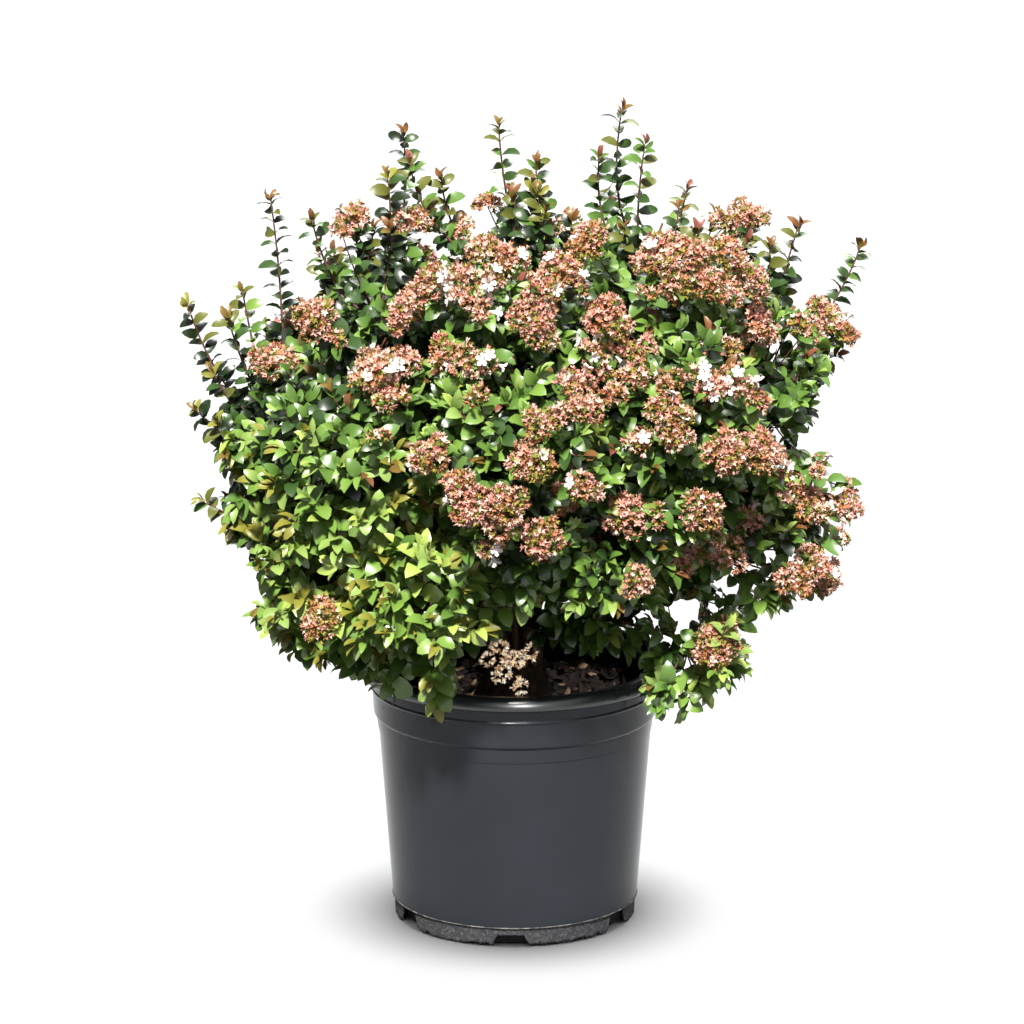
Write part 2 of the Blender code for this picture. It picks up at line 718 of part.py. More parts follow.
def join_mass(mass, pieces, collection):
    """One Boolean union of a mass's stem with its shoots, twigs, leaves and blossom."""
    stem = pieces[0]
    gathered = bpy.data.collections.new("pieces_of_" + mass.name)
    for obj in pieces[1:]:
        gathered.objects.link(obj)
    union = stem.modifiers.new("Join", "BOOLEAN")
    union.operation = "UNION"
    union.operand_type = "COLLECTION"
    union.collection = gathered
    union.solver = "MANIFOLD"
    union.material_mode = "TRANSFER"
    mesh = evaluated_mesh(stem)
    mesh.name = "foliage_" + mass.name
    keep_largest_shell(mesh)
    for obj in pieces:
        bpy.data.objects.remove(obj)
    bpy.data.collections.remove(gathered)
    return mesh_object("foliage_" + mass.name, mesh, collection)


def grow_crown(masses, crown, bark, green, shade, pink):
    """Stems and cores first, then shoots, twigs, leaves and blossom, each clear of other nodes."""
    leaf = leaf_mesh(green)
    core = core_mesh(shade, random.Random(SEED))
    twig = twig_mesh(bark)
    blossom = blossom_mesh(pink, random.Random(SEED))
    stems = {}
    for mass in masses:
        stems[mass.name] = stem_points(mass)
        radii = taper(CANE_TIP_RADIUS, STEM_TIP_RADIUS, STEM_POINTS)
        crown.add_run(mass, "stem", stems[mass.name], radii, bark)
    for mass in masses:
        add_core(crown, mass, core)
    shoots = []
    for shoot in all_shoots():
        mass = mass_nearest(shoot_ends(shoot)[0], masses)
        points = shoot_run(shoot, stems[mass.name])
        radii = taper(SHOOT_RADIUS, SHOOT_TIP_RADIUS, len(points))
        piece = crown.add_run(mass, "shoot", points, radii, bark)
        along = (points[-1] - points[-2]).normalized()
        head = shoot.blossom and add_head(crown, mass, blossom, piece, points[-1], along)
        shoots.append((mass, piece, points, head))
    twigs = []
    for number, mass in enumerate(masses):
        rng = random.Random(SEED + number)
        for run in twig_runs(mass, masses, stems[mass.name], rng):
            root, tip = run
            frame = pointing(root, tip - root, Vector((0, 0, 1)))
            piece = crown.try_piece(mass, twig, frame, (TWIG_RADIUS, (tip - root).length, TWIG_RADIUS))
            if not piece:
                continue
            along = (tip - root).normalized()
            blooms = rng.random() < bloom_share(mass)
            head = blooms and add_head(crown, mass, blossom, piece, tip, along)
            twigs.append((mass, piece, run, head))
    for mass, piece, points, head in shoots:
        dress_shoot(crown, mass, leaf, piece, points, head)
    rng = random.Random(SEED)
    for mass, piece, run, head in twigs:
        dress_twig(crown, mass, leaf, piece, run, head, rng)
    for mass in masses:
        join_mass(mass, crown.grown[mass.name], crown.collection)


def main():
    """Build the pot, the potting mix, the woody crown, the canes and the foliage."""
    clear_scene()
    scene = bpy.context.scene.collection
    shrub = bpy.data.collections.new("glossy_abelia")
    cutters = bpy.data.collections.new("cutters")
    scratch = bpy.data.collections.new("scratch")
    for made in (shrub, cutters, scratch):
        scene.children.link(made)
    bark = material("bark", (0.16, 0.10, 0.065), 0.8)
    green = material("leaf_green", (0.06, 0.16, 0.03), 0.4)
    shade = material("leaf_shade", (0.018, 0.05, 0.012), 0.6)
    pink = material("blossom_pink", (0.52, 0.20, 0.15), 0.7)

    crown = Crown(shrub, scratch)
    crown.keep_out("pot", make_pot(shrub, cutters))
    crown.keep_out("potting_mix", make_soil(shrub))
    crown.keep_out("root_crown", make_root_crown(shrub, bark))
    masses = plan_crown()
    for mass in masses:
        radii = taper(CANE_RADIUS, CANE_TIP_RADIUS, CANE_POINTS)
        cane = tube("cane_" + mass.name, cane_points(mass), radii, bark, shrub)
        crown.keep_out(cane.name, cane)
    grow_crown(masses, crown, bark, green, shade, pink)
    bpy.data.collections.remove(scratch)


main()
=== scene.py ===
"""Looks of a glossy abelia in flower, in its black nursery pot.

Metres, +Z up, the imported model's frame: origin under the pot, front towards -Y. Canes, masses and long
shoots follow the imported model's rule, and finer twigs, leaves and blossom grow on from them here. A
bearing is in degrees from +X, anticlockwise from above. A seen height is the height, at the pot's
axis, of the line of sight to a place from the front.
"""

import json
import math
import random
from collections import defaultdict, namedtuple

import bpy
import numpy as np
from mathutils import Matrix, Vector, noise

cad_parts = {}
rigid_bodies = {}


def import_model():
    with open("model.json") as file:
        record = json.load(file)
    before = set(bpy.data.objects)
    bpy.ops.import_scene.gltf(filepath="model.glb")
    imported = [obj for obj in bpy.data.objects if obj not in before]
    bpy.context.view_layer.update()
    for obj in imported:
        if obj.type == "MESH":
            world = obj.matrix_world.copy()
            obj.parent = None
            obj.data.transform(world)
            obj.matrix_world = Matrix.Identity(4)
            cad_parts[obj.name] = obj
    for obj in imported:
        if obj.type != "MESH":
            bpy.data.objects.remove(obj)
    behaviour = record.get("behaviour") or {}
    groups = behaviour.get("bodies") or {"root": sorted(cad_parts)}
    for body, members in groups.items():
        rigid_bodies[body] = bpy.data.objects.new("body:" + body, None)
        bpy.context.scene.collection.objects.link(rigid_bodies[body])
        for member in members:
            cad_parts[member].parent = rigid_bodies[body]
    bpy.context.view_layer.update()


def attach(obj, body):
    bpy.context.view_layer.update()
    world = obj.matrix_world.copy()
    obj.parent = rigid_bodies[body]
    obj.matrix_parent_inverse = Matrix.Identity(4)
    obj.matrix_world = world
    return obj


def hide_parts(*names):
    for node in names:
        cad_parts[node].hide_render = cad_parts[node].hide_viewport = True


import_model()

Tier = namedtuple("Tier", "name count first_bearing ring height half_width half_height cane_ring cane_turn")
Mass = namedtuple("Mass", "tier name centre half_width half_height cane_root entry heading")
Shoot = namedtuple("Shoot", "x y height length lean blossom", defaults=(False,))
Blade = namedtuple("Blade", "root forward top length width shape colour")
LeafKind = namedtuple(
    "LeafKind", "length sunny_gain width_share to_front darker pairs young sunny_young olive_chance shapes"
)


def metres(*rows):
    """Rows of millimetres, in metres."""
    return [tuple(value / 1000 for value in row) for row in rows]


def shoots_from(*rows):
    """Shoots by their tip's place and their length in millimetres, their lean and whether they bloom."""
    return [Shoot(*(value / 1000 for value in row[:4]), *row[4:]) for row in rows]


# Camera, as the photograph has it
VIEW_WIDTH = 0.9216
SENSOR_WIDTH = 36.0
CAMERA_DISTANCE = 4.5
CAMERA_ELEVATION = math.radians(14)
CAMERA_TARGET = Vector((-0.0027, 0.0, 0.375))
VIEW_TILT = math.tan(CAMERA_ELEVATION)
UP = Vector((0, 0, 1))

# Pot
POT_HEIGHT = 0.240
LIP_RADIUS = 0.1415
LIP_DEPTH = 0.012
LIP_CURL = 0.007
LIP_CURL_DEPTH = 0.0105
BAND_RADIUS = 0.1305
BAND_BOTTOM = 0.191
WALL_TOP_RADIUS = 0.1243
WALL_FOOT_RADIUS = 0.1116
WALL = 0.0022
WALL_ROUNDING = 0.0016
POT_STEPS = 180
FOOT_HEIGHT = 0.0175
FOOT_RADIUS = 0.1095
FOOT_ROWS = 6
FOOT_LUMPS = 0.0007
NOTCHES = 6
NOTCH_FRONT_BEARING = 268.0
NOTCH_FRONT_TOP = 0.0110
NOTCH_TOP = 0.0165
NOTCH_WIDTH = 0.034

# Each wave of the foot's ragged edge: its height, how fine it is and its own level of the noise
FOOT_WAVES = ((0.0046, 9, 0.3), (0.0038, 31, 0.7))

# Potting mix and woody crown
MEETING_GAP = 0.0003
SOIL_TOP = 0.206
SOIL_EDGE_DROP = 0.006
SOIL_FLAT_SHARE = 0.4
SOIL_RINGS = 26
CHIPS = 900
ROOT_CROWN_TOP = 0.236
ROOT_CROWN_RADIUS = 0.0275
ROOT_FLARE_RADIUS = 0.040
SOIL_STEPS = 110
WOODY_STEPS = 72

# Where no leaf may lie: in the ring of the pot's rim below its top, and in the potting mix
RIM_INNER = BAND_RADIUS - 0.008
RIM_OUTER = LIP_RADIUS + 0.003
RIM_TOP = POT_HEIGHT + 0.002
MIX_TOP = SOIL_TOP + 0.004

# Canes and stems
CANE_RADIUS = 0.0029
CANE_TIP_RADIUS = 0.0017
CANE_POINTS = 6
CANE_RINGS = 26
CANE_SIDES = 10
TWIG_SIDES = 3
COLLAR = 0.006
ENTRY_SHARE = 0.62
CROWN_LEAN = 0.10
CROWN_HEART = Vector((0.0, 0.0, 0.36))
BARK_RELIEF = Vector((420, 420, 70))
BARK_STRETCH = (1, 1, 0.25)

# Radii of each kind of twig, at its foot and its tip
STEM = (CANE_TIP_RADIUS, 0.0012)
TWIG = (0.0012, 0.0006)
INNER_TWIG = (0.0011, 0.0006)
SPRAY_TWIG = (0.0010, 0.0006)
SIDE_TWIG = (0.0009, 0.0005)
SHOOT_STEM = (0.0017, 0.0008)

# Foliage
SEED = 41
GOLDEN_ANGLE = math.radians(137.508)
MAIN_TWIGS = 22
INNER_TWIGS = 12
CANE_TWIGS = 8
SIDE_TWIGS = 3
SPREAD_CAP = math.radians(118)
MAIN_REACH = (0.68, 1.10)
INNER_REACH = (0.35, 0.68)
SHORTEST_TWIG = 0.018
TWIG_SAG = 0.16
CELL_OVERLAP = 0.008
YOUNG_WIDTH_SHARE = 0.46
OUTLINE_STRAY = 0.013
HEAD_RADIUS = 0.0172
TUFT_RADIUS = 0.0105
TUFT_STARS = 62
SEPAL_LENGTH = 0.0052
SEPAL_WIDTH_SHARE = 0.42
FLOWER_LENGTH = 0.0088

# How many leaves or sepals one piece takes, to stay under 200,000 triangles
PIECE_LEAVES = 11000
PIECE_SEPALS = 90000

# The front's blossom is listed head by head, so forward of this depth twigs seldom bloom by themselves
REAR_BLOOM_DEPTH = 0.06
FRONT_BLOOM_SHARE = 0.08

# Leaves of the twigs and of the long shoots. Pairs are from the tip down, each with the way on to the
# next pair, the angle that it stands at and its size. The last one repeats down to the bare foot.
TWIG_LEAVES = LeafKind(
    length=0.0192, sunny_gain=0.12, width_share=0.66, to_front=0.45, darker=0.0,
    pairs=((0.0034, 14, 0.84), (0.0052, 40, 0.92), (0.0076, 54, 0.98), (0.0090, 62, 1), (0.0104, 64, 1)),
    young=(0, 0, 0, 1), sunny_young=(0, 1, 1, 2), olive_chance=0.0, shapes=(0, 1, 2, 3, 4),
)
SHOOT_LEAVES = LeafKind(
    length=0.0168, sunny_gain=0.0, width_share=0.57, to_front=0.60, darker=0.6,
    pairs=((0.0024, 24, 0.66), (0.0034, 50, 0.78), (0.0062, 60, 0.92), (0.0085, 64, 1), (0.0092, 64, 1)),
    young=(1, 2, 2), sunny_young=(1, 2, 2), olive_chance=0.75, shapes=(3, 4),
)

# The crown's outline: how far from its axis twig tips may reach at each height, and how low its
# underside hangs by the sideways place, in front and behind
OUTLINE = metres(
    (200, 155), (250, 172), (300, 205), (340, 232), (390, 268), (450, 282), (500, 272), (530, 258),
    (560, 225), (580, 180), (597, 120), (610, 0),
)
FRONT_UNDERSIDE = metres(
    (-320, 300), (-210, 270), (-150, 250), (-110, 238), (-50, 236), (-35, 280), (120, 284), (160, 304),
    (250, 322), (330, 335),
)
REAR_UNDERSIDE = 0.240

# The crown as the front sees it, without its long shoots: how low its fringe hangs and how high it
# stands by the sideways place, how far left and right it reaches by the seen height, and the gaps that
# show sky, each by its middle and its half width and half height
FRINGE = metres(
    (-240, 256), (-190, 240), (-140, 231), (-125, 224), (-116, 208), (-102, 208), (-96, 240), (-84, 240),
    (-78, 200), (-48, 200), (-41, 240), (-30, 258), (0, 280), (25, 293), (50, 286), (80, 280), (100, 266),
    (110, 250), (113, 190), (140, 192), (166, 200), (185, 214), (203, 228), (215, 245),
)
SKYLINE = metres(
    (-300, 450), (-270, 480), (-250, 500), (-235, 525), (-210, 560), (-190, 572), (-170, 575),
    (-150, 600), (-130, 612), (-100, 630), (-70, 622), (-50, 620), (-30, 632), (-10, 645), (10, 645),
    (30, 632), (50, 620), (80, 625), (110, 622), (130, 630), (150, 610), (170, 606), (190, 636),
    (215, 640), (230, 590), (250, 566), (300, 560),
)
SIDES = metres(
    (187, -130, 150), (210, -130, 189), (243, -198, 204), (256, -214, 204), (275, -240, 207),
    (288, -240, 215), (294, -200, 234), (303, -216, 270), (321, -220, 286), (335, -234, 286),
    (345, -255, 290), (368, -258, 300), (396, -248, 309), (425, -261, 290), (433, -264, 242),
    (447, -270, 243), (456, -261, 262), (479, -258, 267), (502, -234, 275), (530, -228, 295),
    (564, -225, 300), (572, -194, 250), (640, -194, 243),
)
SKY = metres(
    (237, 527, 16, 12), (249, 498, 9, 6), (213, 509, 8, 6), (231, 447, 12, 10), (281, 372, 6, 12),
    (204, 314, 26, 20), (225, 337, 10, 8), (149, 287, 20, 11), (162, 240, 14, 13), (184, 287, 14, 6),
    (134, 256, 8, 8), (147, 226, 10, 7), (-272, 465, 9, 10), (-233, 512, 6, 30), (-200, 320, 8, 8),
)

# Blossom heads that the front shows: their sideways place and seen height in millimetres, their
# radius against the usual one, and how many white trumpets are left in them
FRONT_HEADS = (
    (-145, 648, 0.8, 0), (-151, 626, 0.5, 0), (-93, 637, 1.0, 1), (-110, 641, 0.6, 0), (-25, 657, 0.7, 0),
    (-43, 628, 0.6, 0), (-22, 602, 1.0, 1), (-4, 594, 0.8, 1), (-47, 581, 0.7, 5), (-23, 578, 0.6, 4),
    (-68, 581, 0.8, 1), (-96, 551, 1.2, 0), (-76, 567, 0.9, 0), (-40, 561, 0.7, 2), (-28, 551, 0.6, 2),
    (15, 546, 1.1, 0), (25, 529, 0.8, 0), (64, 615, 1.1, 0), (37, 586, 1.0, 1), (23, 570, 0.9, 1),
    (54, 572, 0.6, 3), (50, 646, 0.5, 0), (32, 631, 0.6, 0), (76, 546, 1.2, 0), (64, 518, 0.5, 4),
    (82, 516, 0.5, 1), (104, 518, 0.9, 0), (126, 614, 0.7, 0), (120, 598, 1.0, 1), (149, 604, 1.1, 1),
    (158, 577, 1.0, 0), (136, 579, 0.8, 0), (112, 568, 0.5, 0), (184, 602, 1.1, 0), (203, 583, 1.0, 0),
    (212, 544, 1.1, 0), (183, 570, 0.9, 1), (-117, 502, 1.2, 5), (-97, 506, 1.0, 1), (-107, 478, 0.9, 1),
    (-130, 488, 0.7, 2), (-60, 516, 0.8, 0), (-40, 505, 0.8, 3), (-22, 508, 0.5, 3), (-32, 474, 0.6, 0),
    (-72, 423, 1.0, 1), (-115, 440, 0.5, 0), (-48, 398, 0.8, 0), (-40, 381, 1.1, 2), (-8, 383, 1.0, 0),
    (-14, 362, 0.8, 0), (23, 354, 1.0, 0), (13, 419, 1.1, 1), (22, 450, 0.9, 0), (37, 461, 0.6, 0),
    (57, 465, 1.0, 0), (54, 488, 0.8, 1), (69, 499, 0.7, 0), (100, 493, 0.8, 0), (85, 478, 0.7, 0),
    (40, 483, 0.5, 2), (130, 461, 1.1, 1), (136, 441, 0.8, 3), (104, 436, 0.7, 2), (130, 490, 0.7, 0),
    (158, 494, 0.5, 2), (58, 396, 0.9, 2), (93, 372, 1.1, 0), (122, 372, 0.5, 0), (158, 376, 1.1, 0),
    (167, 358, 0.7, 0), (140, 334, 0.9, 1), (158, 341, 0.6, 0), (105, 311, 0.8, 0), (-22, 345, 0.6, 2),
    (179, 428, 1.1, 0), (208, 429, 1.2, 0), (226, 417, 0.7, 2), (166, 483, 0.9, 3), (185, 488, 0.9, 4),
    (207, 474, 0.7, 1), (186, 334, 0.9, 0), (244, 399, 0.7, 4), (266, 416, 0.6, 3), (256, 382, 1.2, 0),
    (233, 386, 0.6, 0), (202, 367, 0.7, 1), (298, 395, 0.6, 0), (302, 378, 0.5, 0), (288, 353, 0.5, 0),
    (262, 327, 1.0, 1), (243, 314, 0.9, 0), (277, 316, 0.8, 1), (180, 260, 1.0, 0), (274, 554, 1.0, 1),
    (290, 539, 0.9, 0), (256, 543, 0.8, 0), (207, 649, 0.9, 0), (190, 641, 0.9, 0), (221, 652, 0.6, 0),
    (-212, 509, 1.2, 0), (-174, 550, 1.0, 0), (-166, 279, 1.2, 0), (-170, 534, 0.6, 0),
    (-153, 529, 0.5, 0),
)

TIERS = (
    Tier("skirt", 8, 22.5, 0.186, 0.340, 0.098, 0.086, 0.0240, 0),
    Tier("side", 9, 30.0, 0.205, 0.470, 0.100, 0.098, 0.0165, 0),
    Tier("shoulder", 6, 30.0, 0.135, 0.572, 0.100, 0.092, 0.0095, 0),
    Tier("top", 2, 75.0, 0.042, 0.592, 0.080, 0.068, 0.0033, 0),
    Tier("trailing", 1, 323.0, 0.188, 0.262, 0.062, 0.046, 0.0240, -8),
)
THIN_SKIRT_BEARING = 292.5
THIN_SKIRT_LIFT = 0.045
THIN_SKIRT_SHARE = 0.74

# Long shoots, those of the far side, and shorter ones beside them
SHOOTS = shoots_from(
    (-292, -30, 579, 120, 0.30), (-245, 20, 582, 115, 0.16), (-219, 30, 664, 140, 0.13),
    (-180, -50, 660, 100, 0.22), (-145, 0, 656, 70, 0.10, True), (-112, -62, 700, 90, 0.12),
    (-100, 30, 722, 105, 0.10), (-66, -20, 692, 85, 0.10), (-15, 10, 733, 110, 0.08),
    (18, -60, 712, 90, -0.16), (96, 20, 746, 125, 0.16), (114, -70, 730, 130, 0.16),
    (155, 40, 670, 80, 0.20), (215, 10, 656, 90, 0.24, True), (253, -20, 650, 105, 0.28),
    (312, 35, 619, 105, 0.34), (300, -20, 555, 80, 1.20, True), (-285, -80, 494, 60, 0.70),
    (-286, -40, 398, 85, 2.00), (308, -60, 400, 90, 2.00, True), (283, -100, 340, 80, 2.50, True),
    (204, -94, 262, 70, 2.60),
)
REAR_SHOOT_BEARINGS = (18.0, 61.0, 123.0, 160.0)
REAR_SHOOT_RING = 0.190
REAR_SHOOT = Shoot(0.0, 0.0, 0.626, 0.100, 0.20)
SIDE_SHOOTS = shoots_from(
    (-93, -30, 707, 80, 0.10), (75, -20, 711, 100, 0.10), (16, -70, 694, 70, -0.10),
    (-255, -50, 572, 80, 0.25), (-270, -40, 520, 70, 0.40), (50, -40, 658, 70, 0.05),
    (146, -30, 667, 80, 0.15), (160, -60, 652, 70, 0.20), (27, -60, 655, 70, 0.00),
    (0, -40, 680, 70, 0.00),
)

# Low sprays in the shade over the front of the pot, sprays at the crown's lower edges, and dried
# blossom low in the shade: the sideways place and seen height of their tips in millimetres, then an
# edge spray's depth in millimetres and a dried head's radius against the usual one
LOW_SPRAYS = (
    (52, 266), (66, 252), (84, 262), (98, 250), (112, 266), (38, 276), (-52, 262), (-66, 244), (22, 262),
    (74, 276),
)
LOW_SPRAY_DEPTH = -85
EDGE_SPRAYS = (
    (-222, 286, -60), (-212, 272, -80), (-200, 266, -90), (-226, 278, -50), (-206, 290, -70),
    (234, 297, -100), (222, 290, -105), (196, 232, -112), (184, 222, -115), (166, 212, -118),
    (148, 197, -120), (-112, 216, -128), (-68, 205, -165),
)
DRIED_HEADS = (
    (-14, 250, 0.42), (-2, 238, 0.5), (-12, 226, 0.4), (4, 214, 0.34), (14, 246, 0.36), (-24, 240, 0.3),
)
DRIED_HEAD_DEPTH = -70

# Leaf and blossom colours, as sRGB out of 255. A spray takes one and its leaves stray to its neighbours.
# The deep tone goes mostly to leaves deep inside the crown, as painted shade.
LEAF_COLOURS = {
    "deep": (25, 41, 17), "dark": (50, 76, 32), "mid": (84, 116, 48),
    "fresh": (110, 142, 60), "light": (134, 160, 82), "lime": (158, 178, 86),
}
TIP_COLOURS = {"yellow": (128, 126, 50), "gold": (116, 92, 42), "bronze": (118, 80, 46), "red": (124, 72, 56)}
SHOOT_COLOURS = {"olive": (92, 96, 40)}
BLOSSOM_COLOURS = {
    "rose": (218, 154, 140), "salmon": (222, 180, 164), "copper": (178, 122, 86),
    "olive": (150, 138, 64), "moss": (118, 130, 58), "blush": (236, 214, 204),
}
# Dried calyces are pale, and these colours are lightened further as painted light for heads that sit in the
# shade.
DRIED_COLOURS = {"cream": (255, 247, 232), "straw": (242, 216, 180), "tan": (184, 140, 98)}
PETAL_COLOURS = {"white": (248, 245, 242), "blush": (244, 230, 228)}
LITTER_COLOURS = {"bark_chip": (40, 29, 22), "dry_litter": (150, 122, 92)}

# The numbers of the blossom colours at a tuft's heart, the last of its outer ones, and the palest
HEART_COLOURS = (2, 3, 3, 4)
LAST_OUTER_COLOUR = 3
PALEST_COLOUR = 5

# The sunny, lime-green part of the crown
SUNNY_HEART = Vector((-0.15, -0.17, 0.33))
SUNNY_REACH = 0.20
SUNNY_FADE = 0.09

# Stage
FLOOR_HALF = 15
FLOOR_COLOUR = (188, 188, 188)
ROOM_LOW = (0.10, 0.11, 0.11)
ROOM_HIGH = (0.97, 0.99, 1.0)
ROOM_STRENGTH = 0.36
KEY_COLOUR = (1.0, 0.98, 0.92)

# Each light: the way it comes from, its strength, its width in degrees and what it falls on
SUNS = (
    ("key", (-0.12, -0.84, 0.95), 8.0, 5, "all_but_floor"),
    ("top", (0.35, -0.15, 1.0), 0.5, 50, "all_but_floor"),
    ("front", (0.30, -1.0, 0.5), 0.5, 60, "all_but_floor"),
    ("pot_light", (0.10, -1.0, 0.36), 1.4, 3, "pot_only"),
    ("litter_light", (0.10, -1.0, 0.36), 3.0, 3, "litter_only"),
    ("back", (0.25, 1.0, 0.7), 2.6, 40, "all_but_floor"),
    ("floor_light", (0.0, 0.0, 1.0), 4.5, 26, "floor_only"),
    ("floor_fill", (0.0, 0.2, 1.0), 2.3, 120, "floor_only"),
)


# Small helpers


def linear(rgb):
    """The linear values that a shader takes for an sRGB colour out of 255."""
    shares = [value / 255 for value in rgb]
    return tuple(s / 12.92 if s <= 0.04045 else ((s + 0.055) / 1.055) ** 2.4 for s in shares)


def clamp(value, low=0.0, high=1.0):
    """A value kept within limits."""
    return min(max(value, low), high)


def polar(radius, bearing, height):
    """A point by its distance from the pot's axis, its bearing and its height."""
    angle = math.radians(bearing)
    return Vector((radius * math.cos(angle), radius * math.sin(angle), height))


def from_view(sideways, height, depth):
    """A point by its sideways place, seen height and depth in millimetres."""
    return Vector((sideways / 1000, depth / 1000, (height - VIEW_TILT * depth) / 1000))


def bend(start, middle, end, count):
    """Points along a quadratic curve."""
    shares = [index / (count - 1) for index in range(count)]
    return [start * (1 - t) ** 2 + middle * (2 * t * (1 - t)) + end * t**2 for t in shares]


def arched(root, tip, share, rise, count):
    """Points along a curve that rises or sags part of the way."""
    return bend(root, root.lerp(tip, share) + UP * rise, tip, count)


def taper(first, last, count):
    """Radii from first to last."""
    return [first + (last - first) * index / (count - 1) for index in range(count)]


def spot_on(points, share):
    """The point at a share of the way along a run, and the heading there."""
    place = clamp(share) * (len(points) - 1)
    index = min(int(place), len(points) - 2)
    start, end = points[index], points[index + 1]
    return start.lerp(end, place - index), (end - start).normalized()


def straying(rng, amount):
    """A small random vector."""
    return Vector((rng.uniform(-1, 1), rng.uniform(-1, 1), rng.uniform(-1, 1))) * amount


def turned(along, turn):
    """A unit vector square to a direction, turned about it."""
    across = along.orthogonal().normalized()
    across.rotate(Matrix.Rotation(turn, 3, along))
    return across


def upright(forward, hint):
    """The unit vector square to forward that is nearest to a hint."""
    top = hint - forward * hint.dot(forward)
    if top.length < 1e-5:
        top = forward.orthogonal()
    return top.normalized()


def ring_noise(angle, scale, level):
    """Noise round the pot's axis that meets itself."""
    return noise.noise(Vector((math.cos(angle) * scale, math.sin(angle) * scale, level)))


def read_off(table, place, column=1):
    """What a table's column gives for a place in its first column, also between rows."""
    if place <= table[0][0]:
        return table[0][column]
    for below, above in zip(table, table[1:]):
        if place <= above[0]:
            share = (place - below[0]) / (above[0] - below[0])
            return below[column] + (above[column] - below[column]) * share
    return table[-1][column]


# Materials


def plain_material(name, rgb, roughness, specular=0.5):
    """A Principled surface of one colour."""
    made = bpy.data.materials.new(name)
    made.use_nodes = True
    shader = made.node_tree.nodes["Principled BSDF"]
    shader.inputs["Base Color"].default_value = (*linear(rgb), 1.0)
    shader.inputs["Roughness"].default_value = roughness
    shader.inputs["Specular IOR Level"].default_value = specular
    return made


def plain_materials(prefix, colours, roughness, specular=0.5):
    """A plain surface for each named colour."""
    return [plain_material(prefix + name, rgb, roughness, specular) for name, rgb in colours.items()]


def new_nodes(tree, *kinds):
    """New shader nodes."""
    return [tree.nodes.new("ShaderNode" + kind) for kind in kinds]


def set_ramp(ramp, places, colours):
    """Give a colour ramp its places and linear colours."""
    for element, place, colour in zip(ramp.color_ramp.elements, places, colours):
        element.position = place
        element.color = (*colour, 1.0)


def join(tree, *links):
    """Join nodes, each by its output to another's input."""
    for node, output, following, entry in links:
        tree.links.new(node.outputs[output], following.inputs[entry])


def mottled_material(
    name, low, high, scale, roughness, bump, detail=6.0, stretch=(1, 1, 1), steps=(0.35, 0.68), specular=0.5
):
    """A surface whose colour and relief follow one noise pattern."""
    made = plain_material(name, low, roughness, specular)
    tree = made.node_tree
    shader = tree.nodes["Principled BSDF"]
    kinds = ("TexCoord", "Mapping", "TexNoise", "ValToRGB", "Bump")
    place, mapping, pattern, ramp, relief = new_nodes(tree, *kinds)
    mapping.inputs["Scale"].default_value = stretch
    pattern.inputs["Scale"].default_value = scale
    pattern.inputs["Detail"].default_value = detail
    set_ramp(ramp, steps, (linear(low), linear(high)))
    relief.inputs["Strength"].default_value = bump
    relief.inputs["Distance"].default_value = 0.001
    join(
        tree,
        (place, "Object", mapping, "Vector"),
        (mapping, "Vector", pattern, "Vector"),
        (pattern, "Fac", ramp, "Fac"),
        (ramp, "Color", shader, "Base Color"),
        (pattern, "Fac", relief, "Height"),
        (relief, "Normal", shader, "Normal"),
    )
    return made


# Meshes


def finish_piece(mesh, surfaces, slot, *nodes):
    """Link a mesh as a piece, with its materials, hiding the nodes that it replaces. Its slot is not used."""
    for surface in surfaces:
        mesh.materials.append(surface)
    obj = bpy.data.objects.new(mesh.name, mesh)
    bpy.context.scene.collection.objects.link(obj)
    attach(obj, "root")
    if nodes:
        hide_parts(*nodes)


def mesh_of_triangles(name, vertices, triangles, colours=None):
    """A smooth mesh, with the number of its surface for each triangle."""
    mesh = bpy.data.meshes.new(name)
    mesh.from_pydata(vertices, [], triangles, shade_flat=False)
    if colours is not None:
        mesh.polygons.foreach_set("material_index", colours.astype(np.int32))
    return mesh


def blades_mesh(name, blades, shapes):
    """One mesh of many blades, each one of the shapes, placed, turned and sized."""
    vertices, triangles, colours = np.empty((0, 3)), np.empty((0, 3), int), np.empty(0, int)
    for index, (points, faces) in enumerate(shapes):
        mine = [blade for blade in blades if blade.shape == index]
        root, forward, top, length, width, _, colour = (np.array(field) for field in zip(*mine))
        axes = (np.cross(forward, top) * width[:, None], forward * length[:, None], top * length[:, None])
        placed = root[:, None, :] + sum(points[None, :, i, None] * axes[i][:, None, :] for i in range(3))
        firsts = len(vertices) + np.arange(len(mine)) * len(points)
        vertices = np.vstack((vertices, placed.reshape(-1, 3)))
        triangles = np.vstack((triangles, (faces[None, :, :] + firsts[:, None, None]).reshape(-1, 3)))
        colours = np.append(colours, np.repeat(colour, len(faces)))
    return mesh_of_triangles(name, vertices, triangles, colours)


def tubes_mesh(name, runs, sides, relief=0.0):
    """One mesh of many tapering tubes, roughened by a share of their radius."""
    vertices, triangles = [], []
    for points, radii in runs:
        first = len(vertices)
        side = (points[1] - points[0]).orthogonal().normalized()
        for index, (point, radius) in enumerate(zip(points, radii)):
            ahead = points[min(index + 1, len(points) - 1)] - points[max(index - 1, 0)]
            ahead.normalize()
            side = (side - ahead * side.dot(ahead)).normalized()
            other = ahead.cross(side)
            for step in range(sides):
                angle = math.tau * step / sides
                outwards = side * math.cos(angle) + other * math.sin(angle)
                rough = relief and relief * noise.noise((point + outwards * radius) * BARK_RELIEF)
                vertices.append(point + outwards * radius * (1 + rough))
        rings = [range(ring, ring + sides) for ring in range(first, len(vertices), sides)]
        for ring in rings[:-1]:
            for a, b in zip(ring, (*ring[1:], ring[0])):
                triangles += [(a, b, b + sides), (a, b + sides, a + sides)]
        for ring in (rings[0][::-1], rings[-1]):
            triangles.extend((ring[0], ring[i], ring[i + 1]) for i in range(1, sides - 1))
    return mesh_of_triangles(name, vertices, triangles)


